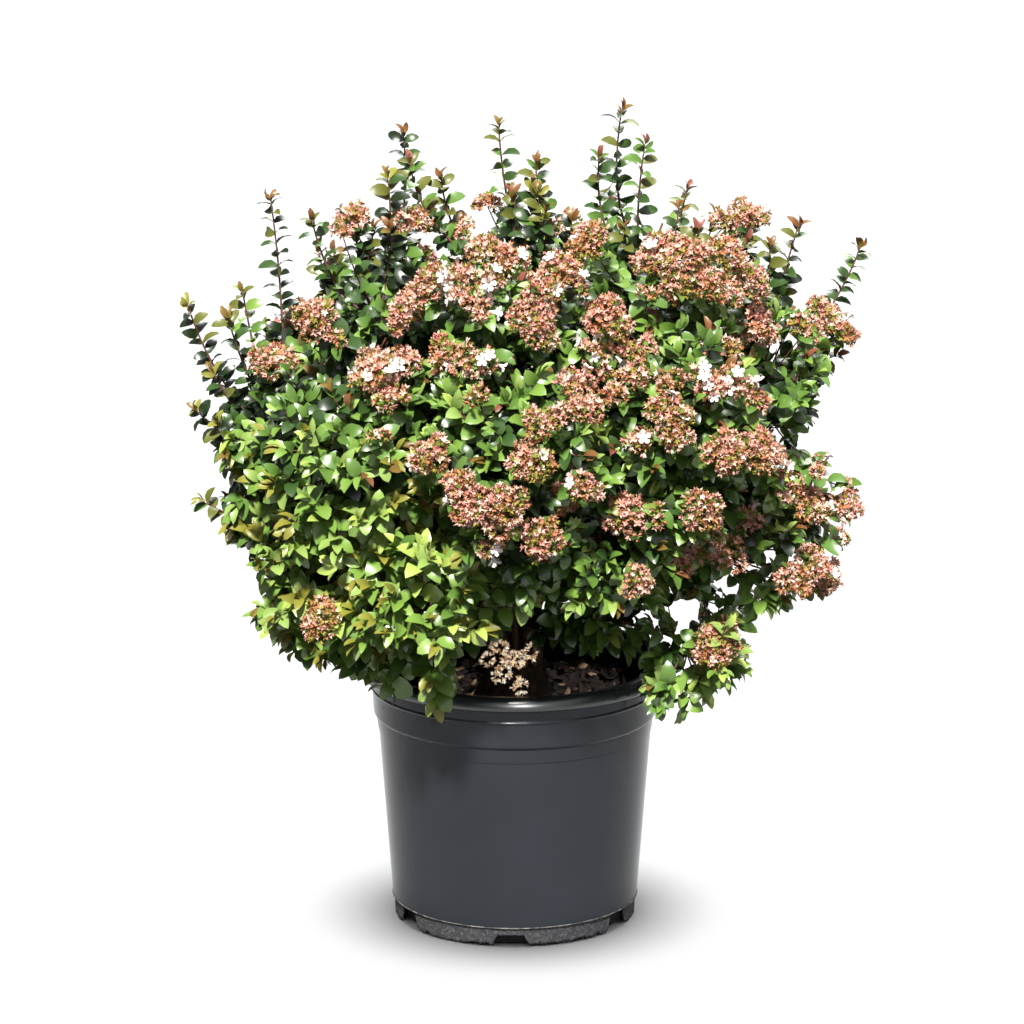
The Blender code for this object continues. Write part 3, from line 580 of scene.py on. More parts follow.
def lathe_mesh(name, profile, steps, shift=None):
    """A surface turned about Z, whose points a function of radius, angle and height may shift."""
    vertices, triangles = [], []
    rings = len(profile)
    for step in range(steps):
        angle = math.tau * step / steps
        for radius, height in profile:
            if shift:
                radius, height = shift(radius, angle, height)
            vertices.append((radius * math.cos(angle), radius * math.sin(angle), height))
    for step in range(steps):
        for a in range(step * rings, (step + 1) * rings - 1):
            b = (a + rings) % len(vertices)
            triangles += [(a, a + 1, b + 1), (a, b + 1, b)]
    return mesh_of_triangles(name, vertices, triangles)


# Pot, potting mix and woody crown


def near(radius, height, *offsets):
    """Points of a profile, by how far out and up they lie from a place in millimetres."""
    return [(radius + out / 1000, height + up / 1000) for out, up in offsets]


def rounded(profile, radius, steps=4):
    """A profile with its corners turned into small arcs."""
    points = [Vector(point) for point in profile]
    made = []
    for before, corner, after in zip(points, points[1:], points[2:]):
        back, on = before - corner, after - corner
        cut = min(radius, back.length * 0.45, on.length * 0.45)
        made += bend(corner + back.normalized() * cut, corner, corner + on.normalized() * cut, steps)
    return [profile[0], *made, profile[-1]]


def foot_edge(angle):
    """The height of the foot's ragged lower edge on a bearing, with its drain notches."""
    ragged = sum(depth * abs(ring_noise(angle, scale, level)) for depth, scale, level in FOOT_WAVES)
    for index in range(NOTCHES):
        bearing = math.radians(NOTCH_FRONT_BEARING + index * 360 / NOTCHES)
        away = abs((angle - bearing + math.pi) % math.tau - math.pi) * FOOT_RADIUS
        top = NOTCH_FRONT_TOP if index == 0 else NOTCH_TOP
        slope = clamp((NOTCH_WIDTH / 2 - away) / (NOTCH_WIDTH * 0.16))
        if slope > 0:
            return ragged + (top - ragged) * slope
    return ragged


def to_foot_edge(radius, angle, mark):
    """A point of the foot, whose rows below its top are marked by minus their number down to the edge."""
    if mark > 0:
        return radius, mark
    lump = FOOT_LUMPS * ring_noise(angle, 26, mark * 0.9)
    return radius + lump, FOOT_HEIGHT + (foot_edge(angle) - FOOT_HEIGHT) * -mark / FOOT_ROWS


def make_pot():
    """The pot: glossy wall and lip, and the muddy foot that has stood on wet ground."""
    wall_surface = mottled_material("pot_wall", (34, 37, 42), (39, 42, 48), 9.0, 0.20, 0.02, specular=0.22)
    lip_surface = plain_material("pot_lip", (18, 21, 22), 0.27, 0.9)
    foot_surface = mottled_material(
        "pot_foot", (38, 40, 46), (92, 89, 81), 420.0, 0.85, 0.7, detail=12.0, steps=(0.46, 0.84)
    )
    seam_surface = mottled_material(
        "pot_seam", (50, 52, 55), (122, 120, 113), 120.0, 0.8, 0.1, steps=(0.42, 0.62)
    )
    # The pot's floor is darker than its plastic: painted shade under the pot, seen through the notches.
    shade = plain_material("pot_underside", (16, 16, 17), 0.9)

    lip_low = POT_HEIGHT - LIP_DEPTH
    wall = [
        *near(BAND_RADIUS, lip_low, (-0.4, 1), (0, -2), (-0.6, -12), (0.7, -13.5), (-0.9, -15)),
        *near(BAND_RADIUS, BAND_BOTTOM, (-2, 2), (-2.4, 0)),
        *near(WALL_TOP_RADIUS, BAND_BOTTOM, (0.4, -3.5), (0, -6)),
        *near(WALL_FOOT_RADIUS, FOOT_HEIGHT, (0.2, 3.5), (-0.2, 0.5)),
        *near(FOOT_RADIUS, FOOT_HEIGHT, (0.6, -0.6)),
    ]
    bore = BAND_RADIUS - WALL
    inside = [*near(bore, SOIL_TOP, (-4, -30), (-1, -6)), *near(bore, POT_HEIGHT, (0, -2))]
    lip = near(bore, POT_HEIGHT, (0, -3), (0.8, -0.6))
    for step in range(11):
        turn = math.pi / 2 * (1 - step / 10)
        radius = LIP_RADIUS - LIP_CURL * (1 - math.cos(turn))
        lip.append((radius, POT_HEIGHT - LIP_CURL_DEPTH * (1 - math.sin(turn))))
    lip += [*near(LIP_RADIUS, lip_low, (-1.2, 0)), *near(BAND_RADIUS, lip_low, (-0.4, 1))]
    foot = [
        (FOOT_RADIUS + 0.0006, FOOT_HEIGHT),
        *((FOOT_RADIUS + 0.0004 * (1 - row / FOOT_ROWS), -(row + 1)) for row in range(FOOT_ROWS)),
        *((FOOT_RADIUS - WALL, row - FOOT_ROWS) for row in range(FOOT_ROWS)),
        (FOOT_RADIUS - WALL, FOOT_HEIGHT),
    ]
    seam = near(FOOT_RADIUS, FOOT_HEIGHT, (2.2, 1.3), (2.8, 0.6), (1.4, 0))
    inner = FOOT_RADIUS - WALL - 0.0002
    floor = [(0.0, FOOT_HEIGHT), *near(inner, FOOT_HEIGHT, (0, 0), (0, -0.8), (-7, -0.8))]
    floor += [*near(inner, 0.0, (-7, 1.4)), (0.0, 0.0014)]
    for name, profile, surface, steps, shift in (
        ("pot_wall", rounded(wall, WALL_ROUNDING), wall_surface, POT_STEPS, None),
        ("pot_inside", inside, wall_surface, POT_STEPS, None),
        ("pot_lip", lip, lip_surface, POT_STEPS, None),
        ("pot_foot", foot, foot_surface, POT_STEPS * 3, to_foot_edge),
        ("pot_seam", seam, seam_surface, POT_STEPS, None),
        ("pot_floor", floor, shade, POT_STEPS // 2, None),
    ):
        finish_piece(lathe_mesh(name, profile, steps, shift), [surface], "pot_plastic", "pot")


def lumpy(radius, angle, height):
    """A point of the potting mix, moved by its lumps."""
    at = Vector((radius * math.cos(angle), radius * math.sin(angle), 0.0))
    return radius, height + 0.0035 * noise.noise(at * 60) + 0.0018 * noise.noise(at * 190)


def make_soil(rng):
    """Damp potting mix, a lumpy surface with bark chips and dry litter on it."""
    damp = mottled_material("potting_mix", (24, 20, 15), (62, 51, 40), 240.0, 0.92, 0.9, detail=8.0)
    edge = WALL_TOP_RADIUS - WALL - MEETING_GAP
    profile = []
    for ring in range(SOIL_RINGS + 1):
        share = ring / SOIL_RINGS
        drop = SOIL_EDGE_DROP * max(0, share - SOIL_FLAT_SHARE) / (1 - SOIL_FLAT_SHARE)
        profile.append((edge * share, SOIL_TOP - drop))
    top = lathe_mesh("potting_mix_top", profile, SOIL_STEPS, lumpy)
    finish_piece(top, [damp], "potting_mix", "potting_mix")
    chips = []
    for _ in range(CHIPS):
        place = polar(edge * math.sqrt(rng.uniform(0.06, 0.97)), rng.uniform(0, 360), SOIL_TOP - 0.001)
        forward = Vector((rng.uniform(-1, 1), rng.uniform(-1, 1), rng.uniform(-0.3, 0.3))).normalized()
        top = upright(forward, UP + straying(rng, 0.5))
        dry = rng.random() < 0.10
        length, width = rng.uniform(0.006, 0.016), rng.uniform(0.003, 0.007)
        chips.append(Blade(place, forward, top, length, width, 0, int(dry)))
    litter = plain_materials("", LITTER_COLOURS, 0.9)
    finish_piece(blades_mesh("bark_chips", chips, [chip_shape()]), litter, "potting_mix")


def ridged(radius, angle, height):
    """A point of the woody crown, moved by ridges that run down from the canes."""
    wave = ring_noise(angle, 3.2, height * 18)
    fine = ring_noise(angle, 14, height * 90)
    return radius * (1 + 0.10 * wave + 0.04 * fine), height


def make_wood():
    """The woody crown, lumpy and ridged, and the canes that leave it."""
    # The woody crown's bark is darker than the canes': old bark, and painted shade under the crown.
    old_bark = mottled_material("old_bark", (38, 29, 23), (86, 68, 53), 220.0, 0.9, 0.8, stretch=BARK_STRETCH)
    bark = mottled_material("bark", (84, 62, 46), (150, 118, 90), 220.0, 0.85, 0.6, stretch=BARK_STRETCH)
    height = ROOT_CROWN_TOP - SOIL_TOP
    profile = [(0.0, ROOT_CROWN_TOP), (ROOT_CROWN_RADIUS * 0.8, ROOT_CROWN_TOP - 0.0002)]
    for step in range(14):
        share = step / 13
        flare = ROOT_CROWN_RADIUS + (ROOT_FLARE_RADIUS - ROOT_CROWN_RADIUS) * share**3
        profile.append((flare, ROOT_CROWN_TOP - 0.001 - (height - 0.001) * share))
    profile.append((0.0, SOIL_TOP + MEETING_GAP))
    finish_piece(lathe_mesh("woody_crown", profile, WOODY_STEPS, ridged), [old_bark], "bark", "root_crown")
    radii = taper(CANE_RADIUS, CANE_TIP_RADIUS, CANE_RINGS)
    runs = [(cane_points(mass, CANE_RINGS), radii) for mass in MASSES]
    canes = [f"cane_{mass.name}" for mass in MASSES]
    finish_piece(tubes_mesh("canes", runs, CANE_SIDES, relief=0.5), [bark], "bark", *canes)


# Shapes of one unit, which blades are made from: root at the origin, pointing along +Y, upper side +Z


OVATE = ((0.09, 0.30), (0.30, 0.50), (0.61, 0.46), (0.87, 0.25))
ELLIPTIC = ((0.11, 0.28), (0.37, 0.48), (0.68, 0.47), (0.91, 0.26))


def leaf_shape(stations, fold, arch, curl, skew):
    """A leaf folded along its midrib and arched along its length."""
    points = [(0.0, 0.0, 0.0)]
    for along, half in stations:
        lift = arch * math.sin(math.pi * along) - curl * along**2.4
        points.append((-half + skew * along, along, lift + fold * half))
        points.append((skew * along, along, lift))
        points.append((half + skew * along, along, lift + fold * half * 0.9))
    points.append((skew, 1.0, -curl - 0.02))
    faces = [(0, 2, 1), (0, 3, 2)]
    for row in range(len(stations) - 1):
        for left in (1 + row * 3, 2 + row * 3):
            faces += [(left, left + 1, left + 4), (left, left + 4, left + 3)]
    tip = len(points) - 1
    faces += [(tip - 3, tip - 2, tip), (tip - 2, tip - 1, tip)]
    return np.array(points), np.array(faces)


def sepal_shape(fold):
    """A narrow sepal folded along its middle."""
    points = [(0.0, 0.0, 0.0), (-0.5, 0.5, fold), (0.5, 0.5, fold), (0.0, 1.0, 0.04)]
    return np.array(points), np.array([(0, 3, 1), (0, 2, 3)])


def chip_shape():
    """A thin bark chip with broken ends."""
    outline = ((-0.4, 0.0), (0.35, 0.06), (0.5, 0.8), (-0.1, 1.0), (-0.5, 0.6))
    points = [(x, y, 0.0) for x, y in outline] + [(x * 0.8, 0.1 + y * 0.8, 0.16) for x, y in outline]
    faces = [(5, 6, 7), (5, 7, 8), (5, 8, 9)]
    for i in range(5):
        j = (i + 1) % 5
        faces += [(i, j, j + 5), (i, j + 5, i + 5)]
    return np.array(points, dtype=float), np.array(faces)


def flower_shape():
    """A small trumpet with five rounded lobes, opening along +Y."""
    rings = [(math.tau * i / 5, *ring) for ring in ((0.07, 0.0), (0.26, 0.86)) for i in range(5)]
    for i in range(5):
        for turn, reach, depth in ((-0.42, 0.60, 1.0), (0.0, 0.72, 1.04), (0.42, 0.60, 1.0)):
            rings.append((math.tau * (i + 0.5) / 5 + turn, reach, depth))
    points = [(reach * math.cos(angle), depth, reach * math.sin(angle)) for angle, reach, depth in rings]
    faces = []
    for i in range(5):
        j = (i + 1) % 5
        lobe = 10 + i * 3
        faces += [(i, j, 5 + j), (i, 5 + j, 5 + i), (5 + i, 5 + j, lobe + 1)]
        faces += [(5 + i, lobe + 1, lobe), (5 + j, lobe + 2, lobe + 1)]
    return np.array(points), np.array(faces)


LEAF_SHAPES = [
    leaf_shape(OVATE, 0.20, 0.08, 0.12, 0.00),
    leaf_shape(OVATE, 0.10, 0.13, 0.20, 0.05),
    leaf_shape(OVATE, 0.30, 0.06, 0.08, -0.05),
    leaf_shape(ELLIPTIC, 0.20, 0.10, 0.14, 0.03),
    leaf_shape(ELLIPTIC, 0.10, 0.13, 0.18, -0.02),
]
SEPAL_SHAPES = [sepal_shape(0.10), sepal_shape(0.22)]


# Plan of the crown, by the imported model's rule


def plan_mass(tier, index):
    """Where one mass sits, how large it is, and where its cane starts and ends."""
    bearing = tier.first_bearing + index * 360 / tier.count
    height = tier.height
    half_width = tier.half_width
    if tier.name == "skirt" and bearing == THIN_SKIRT_BEARING:
        height += THIN_SKIRT_LIFT
        half_width *= THIN_SKIRT_SHARE
    centre = polar(tier.ring, bearing, height)
    centre.z += CROWN_LEAN * centre.x
    cane_root = polar(tier.cane_ring, bearing + tier.cane_turn, ROOT_CROWN_TOP + MEETING_GAP)
    inward = (cane_root + UP * 0.10 - centre).normalized()
    entry = centre + inward * half_width * ENTRY_SHARE
    half_height = tier.half_height * half_width / tier.half_width
    name = f"{tier.name}_{index + 1}"
    mass = Mass(tier.name, name, centre, half_width, half_height, cane_root, entry, None)
    run = cane_points(mass, CANE_POINTS)
    return mass._replace(heading=(run[-1] - run[-2]).normalized())


def cane_points(mass, count):
    """A cane leaves the woody crown upright and arches over to where it enters its mass."""
    rise = 0.45 * (mass.entry - mass.cane_root).length
    collar = mass.cane_root + UP * COLLAR
    return [mass.cane_root, *bend(collar, collar + UP * rise, mass.entry, count - 1)]


def outward(mass):
    """The way a mass faces: away from the heart of the crown, and a little upwards."""
    return ((mass.centre - CROWN_HEART).normalized() + UP * 0.25).normalized()


def stem_points(mass):
    """The one stem of a mass, going on from its cane and turning outwards."""
    collar = mass.entry + mass.heading * COLLAR
    end = mass.centre + outward(mass) * mass.half_width * 0.45
    middle = collar + mass.heading * 0.4 * (end - collar).length
    return [mass.entry, *bend(collar, middle, end, 7)]


def share_inside_cell(mass, reach):
    """How much of a reach from a mass's centre stays on its side of the planes between masses."""
    share = 1.0
    for other in MASSES:
        across = other.centre - mass.centre
        room, along = across.length / 2 + CELL_OVERLAP, reach.dot(across.normalized())
        if along > room:
            share = min(share, room / along)
    return share


MASSES = [plan_mass(tier, index) for tier in TIERS for index in range(tier.count)]


def mass_nearest(point):
    """The mass whose centre is nearest to a point."""
    return min(MASSES, key=lambda mass: (mass.centre - point).length)


def front_of_crown(x, height):
    """The mass and the point on it that the front view shows at a place, or the nearest one."""
    seen, missed = [], []
    for mass in MASSES:
        wide, tall = mass.half_width * 1.02, mass.half_height * 1.02
        # A point at depth y on the line of sight stands at height - VIEW_TILT * y
        off_x = (x - mass.centre.x) / wide
        rise = height - VIEW_TILT * mass.centre.y - mass.centre.z
        a = 1 / wide**2 + VIEW_TILT**2 / tall**2
        b = -2 * VIEW_TILT * rise / tall**2
        c = off_x**2 + rise**2 / tall**2 - 1
        inside = b * b - 4 * a * c
        if inside >= 0:
            seen.append((mass.centre.y + (-b - math.sqrt(inside)) / (2 * a), mass))
        else:
            missed.append((math.hypot(off_x, rise / tall), mass))
    first, mass = min(seen or missed, key=lambda row: row[0])
    y = first if seen else mass.centre.y
    return mass, Vector((x, y, height - VIEW_TILT * y))


def shows_sky(point, slack=0.0):
    """Whether a place lies outside the crown as the front sees it, or in one of its gaps."""
    height = point.z + VIEW_TILT * point.y
    return (
        not read_off(SIDES, height, 1) - slack < point.x < read_off(SIDES, height, 2) + slack
        or height > read_off(SKYLINE, point.x) + slack
        or (point.y < 0 and height < read_off(FRINGE, point.x) - slack)
        or any(math.hypot((point.x - x) / wide, (height - z) / tall) < 1 for x, z, wide, tall in SKY)
    )


def drawn_in(mass, reach, stray):
    """The tip of a reach from a mass's centre, drawn in until it lies within the crown's outline."""
    for share in (1.0, 0.9, 0.8, 0.7, 0.6, 0.5):
        tip = mass.centre + reach * share
        forwardness = clamp(-tip.y / 0.1)
        underside = REAR_UNDERSIDE + forwardness * (read_off(FRONT_UNDERSIDE, tip.x) - REAR_UNDERSIDE)
        furthest = read_off(OUTLINE, tip.z - CROWN_LEAN * tip.x) + stray
        inside = tip.z >= underside + stray * 0.6 and math.hypot(tip.x, tip.y) <= furthest
        if (inside or mass.tier == "trailing") and not shows_sky(tip, stray * 0.4 - 0.010):
            return tip
    return None


def twig_runs(mass, stem, count, reach_shares, rng):
    """Curved runs from the stem to tips spread evenly over the mass's outer face."""
    facing = outward(mass)
    side = facing.orthogonal().normalized()
    other_side = facing.cross(side)
    phase = rng.uniform(0, math.tau)
    for index in range(count):
        forward = 1 - (index + 0.5) / count * (1 - math.cos(SPREAD_CAP))
        sideways = math.sqrt(1 - forward**2)
        spin = phase + index * GOLDEN_ANGLE
        ray = facing * forward + (side * math.cos(spin) + other_side * math.sin(spin)) * sideways
        ray = (ray + straying(rng, 0.14)).normalized()
        size = rng.uniform(*reach_shares)
        reach = Vector((ray.x * mass.half_width, ray.y * mass.half_width, ray.z * mass.half_height)) * size
        reach *= share_inside_cell(mass, reach)
        root, _ = spot_on(stem, 0.25 + 0.65 * (forward + 1) / 2)
        tip = drawn_in(mass, reach, rng.uniform(-OUTLINE_STRAY, OUTLINE_STRAY))
        if tip and (tip - root).length > SHORTEST_TWIG:
            sag = TWIG_SAG * (tip - root).length + 0.5 * max(root.z - tip.z, 0.0)
            yield arched(root, tip, 0.55, -sag, 7)


def side_runs(points, rng):
    """Side twigs that leave a run and turn up towards the light."""
    spin = rng.uniform(0, math.tau)
    for index in range(SIDE_TWIGS):
        share = 0.36 + 0.48 * (index + rng.uniform(0.2, 0.8)) / SIDE_TWIGS
        start, along = spot_on(points, share)
        leaving = (along * 0.8 + turned(along, spin + index * GOLDEN_ANGLE) * 0.75).normalized()
        length = rng.uniform(0.034, 0.050) * (1.15 - 0.5 * share)
        middle = start + leaving * length * 0.5
        end = middle + (leaving + along * 0.3 + UP * 0.45).normalized() * length * 0.5
        yield bend(start, middle, end, 5)


def all_shoots():
    """The long shoots seen from the front, and the even row of the far side."""
    yield from SHOOTS
    for bearing in REAR_SHOOT_BEARINGS:
        x, y, _ = (value * REAR_SHOOT_RING for value in polar(1.0, bearing, 0.0))
        yield REAR_SHOOT._replace(x=x, y=y, height=REAR_SHOOT.height + CROWN_LEAN * x)


# Light, colour and blossom over the crown


def sunniness(point):
    """How fully a place lies in the sunny, lime-green part of the crown, from 0 to 1."""
    return clamp((SUNNY_REACH - (point - SUNNY_HEART).length) / SUNNY_FADE)


def bloom_chance(point):
    """How likely a twig tip is to bloom: often on the right and over the top, seldom low on the left."""
    chance = 0.42 + 1.4 * point.x + 1.2 * (point.z - 0.45)
    chance = 0.7 * (clamp(chance, 0.02, 0.8) * (1 - 0.95 * sunniness(point)))
    return chance * FRONT_BLOOM_SHARE if point.y < REAR_BLOOM_DEPTH else chance


def leaf_tone(point, depth, rng):
    """The number of a leaf colour for a spray. Depth is 0 at the surface and 1 deep inside.

    Painted shade darkens leaves inwards and low on the left; they darken at the upper left; painted light
    pales them low on the right.
    """
    # Painted shade low on the left and middle; to the right, painted light pales the low leaves instead.
    shade = 0.6 * clamp((0.36 - point.z) / 0.12)
    if point.x > 0.03:
        shade = -1.2 * clamp((0.42 - point.z) / 0.12)
    shade += 0.6 * clamp((-0.12 - point.x) / 0.06) * clamp((point.z - 0.40) / 0.06)
    # Depth darkens the leaves as painted shade deep inside the crown.
    tone = 2.1 + 2.0 * sunniness(point) - 2.3 * depth - shade + rng.gauss(0, 0.7)
    return clamp(tone, 0.0, len(LEAF_COLOURS) - 1.0)


def tip_tone(point, rng):
    """The number of a young leaf colour: yellow in the sunny part, gold on the left, bronze to the right."""
    redness = 1.6 + 2.6 * point.x + 2.4 * (point.z - 0.5) - 2.0 * sunniness(point)
    return clamp(round(redness + rng.gauss(0, 0.7)), 0, len(TIP_COLOURS) - 1)


def way_to_light(point, to_front):
    """Where leaves at a place turn their faces: up, outwards, and to the nearer of front and back."""
    outwards = Vector((point.x, point.y, 0)) / max(math.hypot(point.x, point.y), 0.05)
    nearer = Vector((0, -1, 0)) * clamp(0.8 - point.y / 0.1, -1.0)
    return (UP * 0.8 + outwards * 0.30 + nearer * to_front).normalized()


# Growing


class Growth:
    """Everything that grows, kept by kind until its mesh is made."""

    def __init__(self):
        self.leaves, self.twigs = defaultdict(list), defaultdict(list)
        self.sepals, self.dried, self.flowers = [], [], []

    def add_leaf(self, tier, blade, slack):
        """Keep a leaf unless it shows against the sky or runs into the pot or the potting mix."""
        if slack is not None and shows_sky(blade.root + blade.forward * blade.length * 0.6, slack):
            return
        for share in (0.15, 0.6, 1.0):
            spot = blade.root + blade.forward * blade.length * share
            radius = math.hypot(spot.x, spot.y)
            if spot.z < RIM_TOP and RIM_INNER < radius < RIM_OUTER:
                return
            if spot.z < MIX_TOP and radius < BAND_RADIUS:
                return
        self.leaves[tier].append(blade)

    def add_twig(self, tier, points, ends):
        """Keep a twig."""
        self.twigs[tier].append((points, taper(*ends, len(points))))


def grow_leafy(
    growth, tier, points, ends, depth, rng, kind=TWIG_LEAVES, size=1.0, bare=0.3, topped=False, slack=0.004
):
    """A twig with opposite leaves down it from its tip, each pair across the one before.

    Depth is 0 at the crown's surface and 1 deep inside, bare is the leafless share at the twig's foot,
    and slack is how far past the crown's outline leaves may show, or None for any way. Pairs at the tip
    are small, steep and may be coloured, but a topped twig has only grown leaves below its head.
    """
    growth.add_twig(tier, points, ends)
    total = sum((end - start).length for start, end in zip(points, points[1:]))
    middle, _ = spot_on(points, 0.75)
    # The spray's tone carries leaf_tone's painted shade and painted light.
    tone = leaf_tone(middle, depth, rng) - kind.darker
    young_tone = tip_tone(points[-1], rng)
    sunny = sunniness(middle)
    grown = kind.length * size * (1 + kind.sunny_gain * sunny)
    light_way = way_to_light(middle, kind.to_front)
    coloured = rng.choice(kind.sunny_young if sunny > 0.3 else kind.young)
    if depth > 0.4:
        coloured = 0
    pair = len(kind.pairs) - 1 if topped else 0
    below = 0.008 if topped else 0.0
    quarter = rng.uniform(0, math.pi)
    while below < total * (1 - bare):
        gap, steepness, size_share = kind.pairs[min(pair, len(kind.pairs) - 1)]
        spot, along = spot_on(points, 1 - below / total)
        across = turned(along, quarter + rng.uniform(-0.25, 0.25))
        for sign in (1, -1):
            angle = math.radians(steepness + rng.uniform(-9, 9))
            forward = along * math.cos(angle) + across * sign * math.sin(angle)
            if pair > 1:
                forward -= light_way * forward.dot(light_way) * 0.35
            forward = (forward + straying(rng, 0.14)).normalized()
            hint = light_way + straying(rng, 0.65)
            length = grown * size_share * rng.uniform(0.80, 1.16)
            width = length * (YOUNG_WIDTH_SHARE if pair < 2 else kind.width_share) * rng.uniform(0.88, 1.12)
            colour = tone + max(2 - pair, 0) * 0.7 + rng.uniform(-0.8, 0.8)
            colour = clamp(round(colour), 0, len(LEAF_COLOURS) - 1)
            if pair < coloured:
                colour = len(LEAF_COLOURS) + max(young_tone - pair, 0)
            elif kind.olive_chance and rng.random() < kind.olive_chance - 0.11 * pair:
                colour = len(LEAF_COLOURS) + len(TIP_COLOURS)
            shape = rng.choice(kind.shapes)
            leaf = Blade(spot, forward, upright(forward, hint), length, width, shape, colour)
            growth.add_leaf(tier, leaf, slack)
        below += gap * rng.uniform(0.85, 1.18)
        quarter += math.pi / 2
        pair += 1


def blossom_head(growth, tip, along, size, flowers, rng):
    """A broad head of tufts of calyces at a twig's tip, with some open white trumpets."""
    radius = HEAD_RADIUS * size
    along = (along + UP * 0.35).normalized()
    redness = rng.gauss(0, 0.4) + 2.2 * sunniness(tip) + 1.4 * clamp((0.34 - tip.z) / 0.05)
    tufts = 4 if size > 0.95 else 3 if size > 0.65 else 2
    aside = turned(along, rng.uniform(0, math.tau))
    for _ in range(tufts):
        aside.rotate(Matrix.Rotation(math.tau / tufts + rng.uniform(-0.3, 0.3), 3, along))
        middle = tip + aside * radius * rng.uniform(0.40, 0.62) + along * radius * rng.uniform(-0.15, 0.25)
        facing = (along + aside * 0.5).normalized()
        grow_tuft(growth, middle, facing, radius * rng.uniform(0.50, 0.64), redness + rng.gauss(0, 0.5), rng)
    for _ in range(flowers):
        ray = (along * rng.uniform(0.0, 0.9) + straying(rng, 1.0)).normalized()
        seat = tip + ray * radius * rng.uniform(0.5, 0.85)
        top = upright(ray, straying(rng, 1.0))
        length = FLOWER_LENGTH * rng.uniform(0.8, 1.15)
        growth.flowers.append(Blade(seat, ray, top, length, length, 0, int(rng.random() < 0.3)))


def grow_tuft(growth, middle, along, radius, redness, rng):
    """A tuft of star-like calyces, olive at its heart and pink towards its rim."""
    aside = along.orthogonal().normalized()
    for _ in range(round(TUFT_STARS * (radius / TUFT_RADIUS) ** 2)):
        forward = 1 - rng.random() * 1.4
        sideways = math.sqrt(max(0.0, 1 - forward**2))
        aside.rotate(Matrix.Rotation(GOLDEN_ANGLE, 3, along))
        ray = along * forward + aside * sideways
        reach = rng.uniform(0.40, 1.0)
        seat = middle + ray * radius * reach
        facing = (ray + straying(rng, 0.35)).normalized()
        if rng.random() < 0.85 - 0.75 * reach:
            colour = rng.choice(HEART_COLOURS)
        else:
            colour = rng.gauss(0.6 + redness - (seat.z - middle.z) / radius, 0.8)
            colour = min(round(abs(colour)), LAST_OUTER_COLOUR) if rng.random() < 0.95 else PALEST_COLOUR
        grow_calyx(growth, seat, facing, SEPAL_LENGTH * rng.uniform(0.75, 1.15), colour, rng)


def grow_calyx(growth, seat, facing, length, colour, rng):
    """One calyx: four or five sepals that spread like a small star."""
    count = rng.choice((4, 5, 5))
    spread = math.radians(rng.uniform(18, 58))
    across = turned(facing, rng.uniform(0, math.tau))
    for _ in range(count):
        across.rotate(Matrix.Rotation(math.tau / count, 3, facing))
        forward = facing * math.cos(spread) + across * math.sin(spread)
        top = upright(forward, facing)
        width = length * SEPAL_WIDTH_SHARE
        growth.sepals.append(Blade(seat, forward, top, length, width, rng.randrange(2), colour))


def grow_twig(growth, mass, points, rng):
    """A leafy twig with its side twigs, some topped by blossom."""
    chance = bloom_chance(points[-1])
    topped = rng.random() < chance
    if topped:
        flowers = rng.choice((0, 0, 0, 1, 2, 4))
        blossom_head(growth, *spot_on(points, 1.0), rng.uniform(0.75, 1.2), flowers, rng)
    grow_leafy(growth, mass.tier, points, TWIG, 0.0, rng, topped=topped)
    for twiglet in side_runs(points, rng):
        if shows_sky(twiglet[-1]):
            continue
        topped = rng.random() < 0.3 * chance
        if topped:
            size = rng.uniform(0.5, 0.8)
            blossom_head(growth, *spot_on(twiglet, 1.0), size, rng.choice((0, 0, 0, 1)), rng)
        grow_leafy(growth, mass.tier, twiglet, SIDE_TWIG, 0.35, rng, size=0.92, topped=topped)


def grow_mass(growth, mass, rng):
    """The stem of a mass, its outer twigs with side twigs, its shorter inner twigs, and its cane's."""
    stem = stem_points(mass)
    growth.add_twig(mass.tier, stem, STEM)
    amount = (mass.half_width / 0.1) ** 2
    for points in twig_runs(mass, stem, round(MAIN_TWIGS * amount), MAIN_REACH, rng):
        grow_twig(growth, mass, points, rng)
    for points in twig_runs(mass, stem, round(INNER_TWIGS * amount), INNER_REACH, rng):
        grow_leafy(growth, mass.tier, points, INNER_TWIG, 1.0, rng, bare=0.2)
    cane = cane_points(mass, 12)
    for index in range(CANE_TWIGS):
        start, along = spot_on(cane, 0.42 + 0.56 * (index + rng.random()) / CANE_TWIGS)
        aside = turned(along, index * GOLDEN_ANGLE + rng.uniform(-0.4, 0.4))
        end = start + (aside + along * 0.5 + UP * 0.3).normalized() * rng.uniform(0.03, 0.065)
        if end.z > REAR_UNDERSIDE:
            points = bend(start, start.lerp(end, 0.5) + along * 0.008, end, 5)
            grow_leafy(growth, mass.tier, points, SPRAY_TWIG, 1.0, rng, bare=0.15)


def grow_front_heads(growth, rng):
    """The blossom that the front shows, each head on a leafy twig out of the stem behind it."""
    for sideways, height, size, flowers in FRONT_HEADS:
        mass, tip = front_of_crown(sideways / 1000, height / 1000)
        root, _ = spot_on(stem_points(mass), 0.6)
        points = arched(root, tip, 0.55, -TWIG_SAG * (tip - root).length, 7)
        blossom_head(growth, *spot_on(points, 1.0), size, flowers, rng)
        grow_leafy(growth, mass.tier, points, TWIG, 0.0, rng, topped=True)


